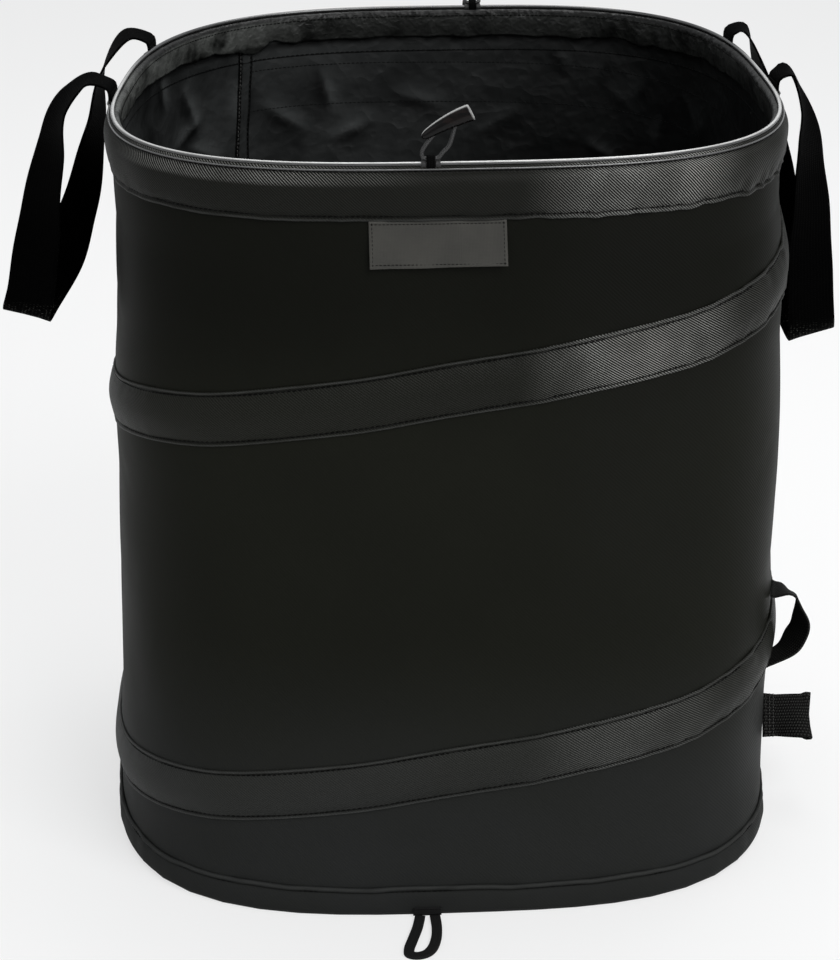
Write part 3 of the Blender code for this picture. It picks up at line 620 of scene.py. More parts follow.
class StitchTree(LineTree):
    """Lays thread stitches end to end along each line."""

    sizes = ("pitch", "stitch", "thread")

    def build(self, curve: Socket, source: Any) -> Socket:
        """Puts a drawn-out bead of thread on each evenly spaced point.

        Args:
            curve: The curve to follow.
            source: The tree's input sockets by name.

        Returns:
            The laid geometry.
        """
        spacing = {"Curve": curve, "Length": source["pitch"]}
        spaced = self.node("GeometryNodeCurveToPoints", {"mode": "LENGTH"}, spacing)
        bead = self.node("GeometryNodeMeshUVSphere", inputs={"Segments": 6, "Rings": 4, "Radius": 1.0})
        half = self.node("ShaderNodeMath", {"operation": "MULTIPLY"}, {0: source["stitch"], 1: 0.5})
        sizes = {0: source["thread"], 1: source["thread"], 2: half.outputs[0]}
        scale = self.node("ShaderNodeCombineXYZ", inputs=sizes)
        heading = {"Vector": spaced.outputs["Tangent"]}
        turn = self.node("FunctionNodeAlignRotationToVector", {"axis": "Z"}, heading)
        laid = {
            "Points": spaced.outputs[0], "Instance": bead.outputs[0],
            "Rotation": turn.outputs[0], "Scale": scale.outputs[0],
        }
        return self.node("GeometryNodeInstanceOnPoints", inputs=laid).outputs[0]


class TubeTree(LineTree):
    """Draws a round wire or cord along each line."""

    sizes = ("radius",)

    def build(self, curve: Socket, source: Any) -> Socket:
        """Sweeps a circle along the curve, with its ends filled.

        Args:
            curve: The curve to follow.
            source: The tree's input sockets by name.

        Returns:
            The laid geometry.
        """
        circle = {"Resolution": 12, "Radius": source["radius"]}
        ring = self.node("GeometryNodeCurvePrimitiveCircle", inputs=circle)
        swept = {0: curve, 1: ring.outputs[0], "Fill Caps": True}
        return self.node("GeometryNodeCurveToMesh", inputs=swept).outputs[0]


class Value:
    """A shader socket whose operators add Math nodes."""

    def __init__(self, graph: "Graph", socket: Socket) -> None:
        """Wraps a socket of the graph."""
        self.graph = graph
        self.socket = socket

    def math(self, operation: str, *others: Any) -> "Value":
        """Adds a Math node on this value and its further inputs."""
        inputs = dict(enumerate((self, *others)))
        return self.graph.value("ShaderNodeMath", {"operation": operation}, inputs)

    def __add__(self, other: Any) -> "Value":
        """Sum."""
        return self.math("ADD", other)

    def __sub__(self, other: Any) -> "Value":
        """Difference."""
        return self.math("SUBTRACT", other)

    def __rsub__(self, other: Any) -> "Value":
        """Difference from a number."""
        return self * -1.0 + other

    def __mul__(self, other: Any) -> "Value":
        """Product."""
        return self.math("MULTIPLY", other)

    def __pow__(self, other: Any) -> "Value":
        """Power."""
        return self.math("POWER", other)

    __radd__ = __add__
    __rmul__ = __mul__

    def wave(self, pitch: float) -> "Value":
        """A sine wave of this length in metres, from 0 to 1."""
        return (self * (TURN / pitch)).math("SINE") * 0.5 + 0.5

    def folded(self) -> "Value":
        """A value from 0 to 1 as its distance from the middle, from 0 to 1."""
        return (self * 2.0 - 1.0).math("ABSOLUTE")

    def clamp(self) -> "Value":
        """The value held between 0 and 1."""
        return self.math("MAXIMUM", 0.0).math("MINIMUM", 1.0)

    def between(self, low: float, high: float) -> "Value":
        """Where the value lies between two others, as 0 to 1 with soft ends."""
        inputs = {"Value": self, "From Min": low, "From Max": high}
        return self.graph.value("ShaderNodeMapRange", {"interpolation_type": "SMOOTHSTEP"}, inputs)


class Graph(Nodes):
    """The nodes of one material."""

    def __init__(self, name: str) -> None:
        """Makes a material with an empty node tree.

        Args:
            name: The material's name.
        """
        self.material = bpy.data.materials.new(name)
        self.material.use_nodes = True
        self.tree = self.material.node_tree
        self.tree.nodes.clear()

    def value(self, kind: str, settings: Inputs | None, inputs: Inputs, output: Any = 0) -> Value:
        """Adds a node and wraps one of its outputs."""
        return Value(self, self.node(kind, settings, inputs).outputs[output])

    def parts(self, vector: Socket) -> list[Value]:
        """The three numbers of a vector."""
        split = self.node("ShaderNodeSeparateXYZ", inputs={0: vector})
        return [Value(self, output) for output in split.outputs]

    def weave(self) -> list[Value]:
        """Metres along and across the cloth, from the piece's UV map."""
        return self.parts(self.node("ShaderNodeUVMap", {"uv_map": "weave"}).outputs[0])[:2]

    def place(self) -> Socket:
        """The point's place in the object's own space."""
        return self.node("ShaderNodeTexCoord").outputs["Object"]

    def noise(self, scale: float, detail: float = 2.0, rough: float = 0.5, place: Any = None) -> Value:
        """Soft noise from 0 to 1.

        Args:
            scale: Its features per metre.
            detail: Octaves.
            rough: Weight of the finer octaves.
            place: Where it is read, the object's own space if none.

        Returns:
            The noise's value.
        """
        inputs = {"Vector": place or self.place(), "Scale": scale, "Detail": detail, "Roughness": rough}
        return self.value("ShaderNodeTexNoise", None, inputs)

    def marked(self, name: str) -> Value:
        """A number that the mesh stores at each point."""
        return self.value("ShaderNodeAttribute", {"attribute_name": name}, {}, "Fac")

    def mix(self, factor: Value, first: Any, second: Any) -> Value:
        """Mixes two colours."""
        first, second = ((*part, 1.0) if isinstance(part, tuple) else part for part in (first, second))
        return self.value("ShaderNodeMix", {"data_type": "RGBA"}, {0: factor, 6: first, 7: second}, 2)

    def bump(self, height: Value, distance: float, strength: float = 0.9, **under: Value) -> Value:
        """A Bump node on a height from 0 to 1, with any Normal under it."""
        inputs = {"Strength": strength, "Distance": distance, "Height": height, **under}
        return self.value("ShaderNodeBump", None, inputs)

    def close(self, shader: bpy.types.Node) -> Material:
        """Joins the shader to the output and gives the material."""
        self.node("ShaderNodeOutputMaterial", inputs={0: shader.outputs[0]})
        return self.material


def shade(colour: Colour, factor: float) -> Colour:
    """A colour made lighter or darker."""
    return tuple(part * factor for part in colour)


@dataclass(frozen=True)
class Finish:
    """A material by name. Each kind of finish has its own look."""

    name: str
    colour: Colour = (0.0, 0.0, 0.0)

    def look(self, graph: Graph) -> Inputs:
        """The shader's sockets, with underscores for spaces."""
        raise NotImplementedError

    def build(self) -> Material:
        """Makes the material.

        Returns:
            The material.
        """
        graph = Graph(self.name)
        sockets = {key.replace("_", " "): value for key, value in self.look(graph).items()}
        return graph.close(graph.node("ShaderNodeBsdfPrincipled", inputs=sockets))


@dataclass(frozen=True)
class CoatedTwill(Finish):
    """The bin's outer cloth: near-black woven polyester with a slanted twill and a dull coat."""

    colour: Colour = (0.0074, 0.0078, 0.0056)
    low: Colour = (0.0182, 0.0190, 0.0186)
    ridge: Colour = (0.050, 0.051, 0.049)
    dust: Colour = (0.06, 0.06, 0.057)
    painted_glint: Colour = (0.010, 0.010, 0.010)
    pitch: float = 0.0030
    cross: float = 0.0011
    roughness: float = 0.50
    depth: float = 0.00006
    specular: float = 0.04

    def look(self, graph: Graph) -> Inputs:
        """Greener above and bluer below, painted lighter low down and darker high up, mottled, with painted
        glints, painted shade and highlights at the seams, and the twill as its bump.

        Args:
            graph: The material's nodes.

        Returns:
            The shader's sockets.
        """
        along, up = graph.weave()
        x, y, z = graph.parts(graph.place())
        rib = (along + up + graph.noise(14.0) * 0.0016).wave(self.pitch)
        yarn = (along - up).wave(self.cross)
        # Painted light: the cloth is painted lighter and bluer low down.
        base = graph.mix(z.between(0.05, 0.24), self.low, self.colour)
        blotch = graph.noise(9.0, 3.0).between(0.30, 0.75)
        base = graph.mix(blotch * 0.25, base, shade(self.colour, 1.6))
        # Painted shade: darker from a height of 0.38 m up, over the upper wall and the rim.
        base = graph.mix(z.between(0.38, 0.50) * 0.5, base, shade(self.colour, 0.2))
        base = graph.mix(graph.noise(900.0, 1.0).between(0.66, 0.80) * 0.06, base, self.dust)
        # Painted glints on the twill ribs, strongest at the front right and faint on the rim's left shoulder,
        # broken up by noise.
        right = x.between(0.04, 0.12) * (1.0 - x.between(0.165, 0.215) * 0.85)
        right = right * (1.0 - y.between(-0.205, -0.135)) * (z.between(0.20, 0.32) * 0.75 + 0.25)
        left = (1.0 - x.between(-0.15, 0.0)) * (1.0 - y.between(-0.19, -0.12)) * z.between(0.583, 0.587)
        glint_patch = graph.noise(22.0).between(0.30, 0.60) * 0.45 + 0.55
        glint_mask = (right + left * 0.55) * glint_patch + 0.03
        base = graph.mix(rib**4.0 * glint_mask * yarn.between(0.0, 0.4), base, self.painted_glint)
        # Painted shade in the stitched grooves, where the mesh marks edge below 0.
        edge = graph.marked("edge")
        base = graph.mix((edge * -1.0).clamp() * 0.9, base, shade(self.colour, 0.2))
        # Painted highlight on the seam ridges, where the mesh marks edge above 0, broken up by noise.
        highlight_patches = graph.noise(45.0).between(0.25, 0.60) * 0.5 + 0.5
        return {
            "Base_Color": graph.mix(edge.clamp() * highlight_patches * 0.8, base, self.ridge),
            "Roughness": rib * -0.12 + blotch * 0.08 + (self.roughness + 0.05),
            "Specular_IOR_Level": self.specular,
            "Normal": graph.bump(rib * 0.7 + rib * yarn * 0.3, self.depth),
        }


@dataclass(frozen=True)
class ShinyLining(Finish):
    """The coated inner side of the cloth: slick and crumpled, with painted shade at its seams and under the
    facing.
    """

    colour: Colour = (0.0052, 0.0056, 0.0056)
    light: Colour = (0.0250, 0.0265, 0.0265)
    roughness: float = 0.36
    crumple: float = 0.0030
    scale: float = 16.0
    specular: float = 0.16
    shadow: tuple[float, float] = (-0.10, 0.14)
    cloud: float = 7.0
    crest: float = 0.25

    def look(self, graph: Graph) -> Inputs:
        """Sharp ridges from folded noise over a satin coat, with painted highlights on the ridges and painted
        light and shade on the folds and seams.

        Args:
            graph: The material's nodes.

        Returns:
            The shader's sockets.
        """
        ridge = 1.0 - (graph.noise(self.scale, 3.0, 0.55).folded() * 3.2).clamp()
        fine = 1.0 - (graph.noise(self.scale * 3.1).folded() * 3.0).clamp()
        height = ridge * 0.75 + fine * graph.noise(7.0, 1.0) * 0.5
        along, up = graph.weave()
        tone = graph.noise(self.cloud, 1.5).between(0.32, 0.68)
        base = graph.mix(tone, self.colour, self.light)
        # Painted highlight on the crumple ridges, as strong as crest.
        base = graph.mix(ridge * self.crest, base, shade(self.light, 1.6))
        # Painted light on the placed folds' upper flanks and painted shade under them.
        fold = graph.marked("fold")
        base = graph.mix(fold.clamp() * 0.8, base, shade(self.light, 2.2))
        base = graph.mix((fold * -1.0).clamp() * 0.85, base, shade(self.colour, 0.3))
        x, y, z = graph.parts(graph.place())
        base = graph.mix(x.between(*self.shadow) * 0.80, base, shade(self.colour, 0.5))
        # Painted shade: a thin line along the rim's lower seam, a shadow under the facing's free edge and
        # along the seam binding's marked edges; the facing's top round the back is painted darker too.
        seam = z.between(0.5596, 0.5604) * (1.0 - z.between(0.5606, 0.5614))
        under = z.between(0.5655, 0.5715) * (1.0 - z.between(0.5725, 0.5760))
        top = z.between(0.5925, 0.5950) * y.between(-0.02, 0.10)
        sewn = (graph.marked("edge") * -1.0).clamp()
        dark = (seam + under * 0.8 + top + sewn).clamp()
        weave = graph.bump(along.wave(0.0009) * up.wave(0.0009), 0.00006, 0.4)
        return {
            "Base_Color": graph.mix(dark * 0.92, base, shade(self.colour, 0.12)),
            "Roughness": tone * 0.14 + fine * 0.06 + self.roughness,
            "Specular_IOR_Level": self.specular,
            "Normal": graph.bump(height, self.crumple, 0.55, Normal=weave),
        }


@dataclass(frozen=True)
class Webbing(Finish):
    """Woven strap: ribs across its length in rows of small humps."""

    colour: Colour = (0.0004, 0.0004, 0.0004)
    rib: float = 0.0021
    column: float = 0.0026
    depth: float = 0.00035
    specular: float = 0.01
    crest: float = 2.6

    def look(self, graph: Graph) -> Inputs:
        """Staggered humps, painted lighter on their crowns as highlights.

        Args:
            graph: The material's nodes.

        Returns:
            The shader's sockets.
        """
        along, across = graph.weave()
        step = across.wave(self.column * 2).between(0.45, 0.55)
        shifted = (along + step * (self.rib / 2)).wave(self.rib)
        groove = across.wave(self.column)
        lint = graph.noise(420.0).between(0.45, 0.75)
        # Painted highlight: the rib crowns are painted lighter, up to crest times the colour.
        base = graph.mix(shifted * groove, shade(self.colour, 0.6), shade(self.colour, self.crest))
        base = graph.mix(lint * 0.02, base, (0.02, 0.02, 0.02))
        # Painted highlight on the rib crowns where the mesh marks edge, at the strap's lowest bend.
        highlight_patches = graph.marked("edge") * lint.between(0.0, 0.6)
        return {
            "Base_Color": graph.mix(shifted**2.0 * groove * highlight_patches * 0.8, base, (0.11, 0.11, 0.10)),
            "Roughness": lint * 0.1 + 0.62,
            "Specular_IOR_Level": self.specular,
            "Normal": graph.bump(shifted * 0.6 + groove * 0.4, self.depth),
        }


@dataclass(frozen=True)
class Knit(Finish):
    """Knitted elastic: small V-shaped loops in columns."""

    stitch: float = 0.0016

    def look(self, graph: Graph) -> Inputs:
        """Slanted waves that meet in columns.

        Args:
            graph: The material's nodes.

        Returns:
            The shader's sockets.
        """
        along, across = graph.weave()
        column = (across * (0.5 / self.stitch)).math("FRACT")
        loops = (along + column.folded() * self.stitch).wave(self.stitch)
        return {
            "Base_Color": graph.mix(loops, shade(self.colour, 0.6), shade(self.colour, 3.4)),
            "Roughness": graph.noise(300.0) * 0.15 + 0.62,
            "Specular_IOR_Level": 0.12,
            "Normal": graph.bump(loops, 0.00035),
        }


@dataclass(frozen=True)
class Braid(Finish):
    """Round braided cord: two sets of slanted strands that cross."""

    pitch: float = 0.0022

    def look(self, graph: Graph) -> Inputs:
        """The larger of two slanted waves is the strand on top.

        Args:
            graph: The material's nodes.

        Returns:
            The shader's sockets.
        """
        along, around = graph.weave()
        height = (along + around).wave(self.pitch).math("MAXIMUM", (along - around).wave(self.pitch))
        return {
            "Base_Color": graph.mix(height, shade(self.colour, 0.4), shade(self.colour, 2.2)),
            "Roughness": (1.0 - height) * 0.25 + 0.42,
            "Specular_IOR_Level": 0.5,
            "Normal": graph.bump(height, 0.0003),
        }


@dataclass(frozen=True)
class Vinyl(Finish):
    """The glossy cord and welt along the rim's top seam."""

    crown: Colour = (0.52, 0.52, 0.51)
    highlight_heights: tuple[float, float] = (0.5990, 0.5999)

    def look(self, graph: Graph) -> Inputs:
        """Glossy, with a pale painted highlight on the crown over the front and sides, and dark round the
        back.

        Args:
            graph: The material's nodes.

        Returns:
            The shader's sockets.
        """
        wear_and_highlight_noise = graph.noise(40.0, 3.0).between(0.35, 0.75)
        _, y, z = graph.parts(graph.place())
        # Painted highlight: the crown between the highlight heights is painted pale over the front and sides,
        # fading out towards the back.
        pale = z.between(*self.highlight_heights) * (1.0 - y.between(-0.04, 0.12)) * (wear_and_highlight_noise * -0.3 + 1.0)
        base = graph.mix(wear_and_highlight_noise, self.colour, shade(self.colour, 1.6))
        return {
            "Base_Color": graph.mix(pale, base, self.crown),
            "Roughness": wear_and_highlight_noise * 0.16 + 0.24,
            "Specular_IOR_Level": 0.8,
            "Coat_Weight": 0.6,
            "Coat_Roughness": 0.12,
            "Normal": graph.bump(graph.noise(260.0), 0.00008, 0.5),
        }


@dataclass(frozen=True)
class TagCloth(Finish):
    """The bare cloth tag: a close plain weave in warm grey."""

    def look(self, graph: Graph) -> Inputs:
        """A fine weave, cloudy in tone and lighter along its edge.

        Args:
            graph: The material's nodes.

        Returns:
            The shader's sockets.
        """
        along, up = graph.weave()
        weave = along.wave(0.0010) * 0.5 + up.wave(0.0010) * 0.5
        cloud = graph.noise(55.0, 3.0).between(0.30, 0.75)
        base = graph.mix(cloud, shade(self.colour, 0.80), shade(self.colour, 1.16))
        base = graph.mix(graph.marked("edge") * 0.45, base, shade(self.colour, 1.9))
        return {
            "Base_Color": graph.mix(weave * 0.25, base, shade(self.colour, 1.5)),
            "Roughness": cloud * 0.12 + 0.62,
            "Specular_IOR_Level": 0.3,
            "Normal": graph.bump(weave, 0.00010, 0.7),
        }


@dataclass(frozen=True)
class Grained(Finish):
    """Sewing thread and moulded plastic: one colour with a fine grain in tone and relief."""

    scale: float = 1500.0
    detail: float = 1.0
    tones: tuple[float, float] = (0.6, 1.5)
    rough: tuple[float, float] = (0.15, 0.55)
    specular: float = 0.05

    def look(self, graph: Graph) -> Inputs:
        """Fine noise in tone.

        Args:
            graph: The material's nodes.

        Returns:
            The shader's sockets.
        """
        grain = graph.noise(self.scale, self.detail)
        return {
            "Base_Color": graph.mix(grain, *(shade(self.colour, tone) for tone in self.tones)),
            "Roughness": grain * self.rough[0] + self.rough[1],
            "Specular_IOR_Level": self.specular,
            "Normal": graph.bump(grain, 0.00005, 0.6),
        }


@dataclass(frozen=True)
class Steel(Finish):
    """Drawn or spring steel wire, lightly oiled."""

    roughness: float = 0.30

    def look(self, graph: Graph) -> Inputs:
        """Draw marks along the wire and a few dull spots.

        Args:
            graph: The material's nodes.

        Returns:
            The shader's sockets.
        """
        marks = graph.noise(700.0, 3.0, 0.6)
        spots = graph.noise(45.0).between(0.55, 0.80)
        return {
            "Base_Color": graph.mix(spots * 0.6, self.colour, shade(self.colour, 0.45)),
            "Metallic": 1.0,
            "Roughness": spots * 0.25 + marks * 0.12 + self.roughness,
            "Normal": graph.bump(marks, 0.00003, 0.5),
        }


@dataclass(frozen=True)
class Horn(Finish):
    """The toggles: polished dark resin with brown streaks along the horn."""

    streak: Colour = (0.0060, 0.0032, 0.0026)
    ridge: Colour = (0.42, 0.42, 0.41)

    def look(self, graph: Graph) -> Inputs:
        """Streaks drawn out along the piece, under a gloss coat, with a painted highlight on the marked crest
        and lip.

        Args:
            graph: The material's nodes.

        Returns:
            The shader's sockets.
        """
        stretch = {"Vector": graph.place(), "Scale": (60.0, 260.0, 260.0)}
        grain = graph.noise(1.0, 4.0, 0.6, graph.value("ShaderNodeMapping", None, stretch))
        grain = grain.between(0.45, 0.75)
        base = graph.mix(grain, self.colour, self.streak)
        # Painted highlight where the mesh marks edge, along the horn's crest and its rolled lip.
        return {
            "Base_Color": graph.mix(graph.marked("edge"), base, self.ridge),
            "Roughness": grain * 0.12 + 0.20,
            "Specular_IOR_Level": 0.12,
            "Coat_Weight": 0.10,
            "Coat_Roughness": 0.08,
            "Normal": graph.bump(grain, 0.00006, 0.5),
        }


@dataclass(frozen=True)
class FloorSheet(Finish):
    """The stiff floor sheet: coarse coated cloth with scuffs."""

    def look(self, graph: Graph) -> Inputs:
        """A square weave from the sheet's own plan, scuffed in clouds.

        Args:
            graph: The material's nodes.

        Returns:
            The shader's sockets.
        """
        x, y, _ = graph.parts(graph.place())
        scuff = graph.noise(18.0, 4.0, 0.6).between(0.50, 0.80)
        return {
            "Base_Color": graph.mix(scuff, self.colour, shade(self.colour, 2.4)),
            "Roughness": scuff * 0.15 + 0.48,
            "Specular_IOR_Level": 0.35,
            "Normal": graph.bump(x.wave(0.0016) * y.wave(0.0016), 0.00012, 0.8),
        }


FINISHES = (
    CoatedTwill("coated_twill"),
    CoatedTwill(
        "sleeve_twill", (0.0076, 0.0080, 0.0058), (0.0215, 0.0224, 0.0214), painted_glint=(0.44, 0.44, 0.42),
        pitch=0.0024, roughness=0.44, depth=0.00018, specular=0.08,
    ),
    ShinyLining("slick_lining"),
    ShinyLining(
        "satin_facing", (0.0036, 0.0039, 0.0036), (0.064, 0.067, 0.063), 0.32, 0.0024, 34.0, 0.24,
        (-0.20, -0.06), 20.0, 0.55,
    ),
    Webbing("webbing"),
    Webbing("loop_webbing", (0.0016, 0.0016, 0.0015), depth=0.0005, specular=0.05, crest=20.0),
    Webbing("seam_tape", (0.0020, 0.0020, 0.0020), 0.0014, 0.0018, 0.00015),
    Knit("knit_elastic", (0.0050, 0.0050, 0.0050)),
    Braid("braided_cord", (0.012, 0.012, 0.012)),
    Vinyl("piping_vinyl", (0.016, 0.016, 0.016)),
    Vinyl("welt_vinyl", (0.012, 0.012, 0.012), (0.10, 0.10, 0.10), (0.5950, 0.5958)),
    TagCloth("tag_cloth", (0.033, 0.032, 0.028)),
    Grained("dark_thread", (0.0016, 0.0016, 0.0015)),
    Grained("pale_thread", (0.060, 0.060, 0.057)),
    Grained("inner_thread", (0.0065, 0.0068, 0.0068)),
    Grained("moulded_plastic", (0.018, 0.018, 0.018), 1100.0, 2.0, (0.8, 1.3), (0.2, 0.42), 0.5),
    Steel("hoop_wire", (0.45, 0.45, 0.46)),
    Steel("spring_wire", (0.38, 0.38, 0.40), 0.26),
    Horn("horn_resin", (0.0012, 0.0010, 0.0010)),
    FloorSheet("floor_sheet", (0.0100, 0.0108, 0.0105)),
)


@dataclass
class Workshop:
    """The frame, the finishes and the node trees that the sub-assemblies are made with."""

    frame: dict[str, Any]
    finishes: dict[str, Material]
    stitches: StitchTree
    tubes: TubeTree
    made: int = 0

    def dress(self, obj: Object, finish: str) -> None:
        """Gives a piece its one finish."""
        obj.data.materials.clear()
        obj.data.materials.append(self.finishes[finish])

    def seat(self, obj: Object, body: str, slot: str, finish: str, *nodes: str, soft: bool = False) -> None:
        """Dresses a finished piece and puts it on its body.

        Args:
            obj: The piece.
            body: The CAD body that it rides on.
            slot: The record's material slot; not used.
            finish: The name of its material, empty if it has its own.
            *nodes: CAD nodes that it stands for.
            soft: Whether it gets a mesh of its own.
        """
        if finish:
            self.dress(obj, finish)
        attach(obj, body)
        if soft:
            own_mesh(obj)
        if nodes:
            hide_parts(*nodes)
        self.made += 1
        LOG.info("%s rides on %s, %d faces", obj.name, body, len(obj.data.polygons))

    def sew(
        self, name: str, lines: Sequence[Array], body: str, finish: str = "dark_thread",
        closed: bool = False, soft: bool = False, pitch: float = 0.0042, thread: float = 0.00042,
    ) -> None:
        """Lays rows of stitches along lines.

        Args:
            name: The piece's name.
            lines: Lines of points on the cloth.
            body: The CAD body that it rides on.
            finish: The thread.
            closed: Whether the lines join up.
            soft: Whether it gets a mesh of its own.
            pitch: Distance from one stitch to the next.
            thread: The thread's radius.
        """
        sizes = {"pitch": pitch, "stitch": pitch * 0.80, "thread": thread}
        obj = self.stitches.run(name, lines, self.finishes[finish], closed, **sizes)
        self.seat(obj, body, "binding", finish, soft=soft)

    def draw(
        self, name: str, lines: Sequence[Array], radius: float, *seat: str,
        closed: bool = False, soft: bool = False,
    ) -> None:
        """Draws round wire or cord along lines and seats it.

        Args:
            name: The piece's name.
            lines: The lines that it follows.
            radius: Its radius.
            *seat: Body, slot, finish and replaced nodes, as seat takes them.
            closed: Whether the lines join up.
            soft: Whether it gets a mesh of its own.
        """
        obj = self.tubes.run(name, lines, self.finishes[seat[2]], closed, radius=radius)
        self.seat(obj, *seat, soft=soft)

    def cord(self, obj: Object, path: Array, diameter: float, stiffness: str) -> None:
        """Takes a cord that both ends hold and does nothing with it."""

    def hinge(self, name: str) -> tuple[Array, Array]:
        """The place and the axis of a joint of the record."""
        joint = next(joint for joint in self.frame["joints"] if joint["name"] == name)
        return np.array(joint["pos_m"], float), np.array(joint["axis"], float)


@dataclass(frozen=True)
class Creases:
    """Sharp folds over the wall, as a height over way round and height up.

    Most are scattered. The placed ones are the photograph's, under the back of the rim: share
    of the way round, height, half length, angle to the level in degrees, and height inward.
    """

    count: int = 150
    seed: int = 11
    placed: Sequence[tuple[float, ...]] = (
        (0.429, 0.557, 0.022, 75, 0.0022), (0.403, 0.532, 0.030, 62, 0.0030),
        (0.404, 0.512, 0.024, -30, 0.0026), (0.392, 0.490, 0.030, 25, 0.0024),
        (0.367, 0.528, 0.026, 80, -0.0020), (0.342, 0.507, 0.034, 30, 0.0030),
        (0.318, 0.528, 0.026, 70, 0.0026), (0.302, 0.491, 0.030, -20, 0.0022),
        (0.262, 0.516, 0.036, 15, 0.0024), (0.215, 0.497, 0.030, -25, 0.0022),
        (0.179, 0.552, 0.020, 55, 0.0026), (0.156, 0.545, 0.018, -60, 0.0026),
        (0.144, 0.520, 0.024, 35, 0.0030), (0.133, 0.531, 0.016, -40, 0.0026),
        (0.099, 0.524, 0.020, 60, 0.0028), (0.091, 0.510, 0.018, -35, 0.0026),
        (0.157, 0.473, 0.024, 20, 0.0024), (0.120, 0.500, 0.022, -70, 0.0024),
    )

    def height(self, way: Array, z: Array) -> Array:
        """The folds' height inward, sharp along each and fading off its ends.

        Args:
            way: Metres round the tub.
            z: Height.

        Returns:
            Metres inward at each point.
        """
        rng = np.random.default_rng(self.seed)
        total = np.zeros_like(way)
        for _ in range(self.count):
            middle = rng.uniform(0, OUTLINE.perimeter)
            level = rng.uniform(0.05, 0.55)
            angle = rng.normal(0.0, 0.55) + (math.pi / 2 if rng.random() < 0.35 else 0.25)
            half = rng.uniform(0.020, 0.075)
            height = rng.uniform(0.0006, 0.0024) * (1 if rng.random() < 0.7 else -1)
            width = rng.uniform(0.003, 0.008)
            total = total + height * self.fold(way - middle, z - level, angle, half, width)[0]
        for share, level, half, degrees, height in self.placed:
            run = way - share * OUTLINE.perimeter
            total = total + height * self.fold(run, z - level, math.radians(degrees), half, 0.0035)[0]
        return total

    def tone(self, way: Array, z: Array) -> Array:
        """Painted light and shade on the placed folds' flanks, from -1, painted shade under a fold, to 1,
        painted light on its upper flank.

        Args:
            way: Metres round the tub.
            z: Height.

        Returns:
            The tone at each point.
        """
        total = np.zeros_like(way)
        for share, level, half, degrees, height in self.placed:
            angle = math.radians(degrees)
            shape, away = self.fold(way - share * OUTLINE.perimeter, z - level, angle, half, 0.0042)
            total = total + shape * away * math.copysign(math.e, height * math.cos(angle))
        return np.clip(total, -1, 1)

    def fold(self, dx: Array, dz: Array, angle: float, half: float, width: float) -> tuple[Array, Array]:
        """One fold of height 1.

        Args:
            dx: Metres round the tub from its middle.
            dz: Metres above its middle.
            angle: Its angle to the level.
            half: Half its length.
            width: How far from its crest it has fallen to 1/e.

        Returns:
            The fold's height, and how many widths each point is from its crest.
        """
        dx = dx - OUTLINE.perimeter * np.round(dx / OUTLINE.perimeter)
        run = dx * math.cos(angle) + dz * math.sin(angle)
        away = (dz * math.cos(angle) - dx * math.sin(angle)) / width
        return np.clip(1 - (run / half) ** 2, 0, 1) ** 1.5 * np.exp(-np.abs(away)), away


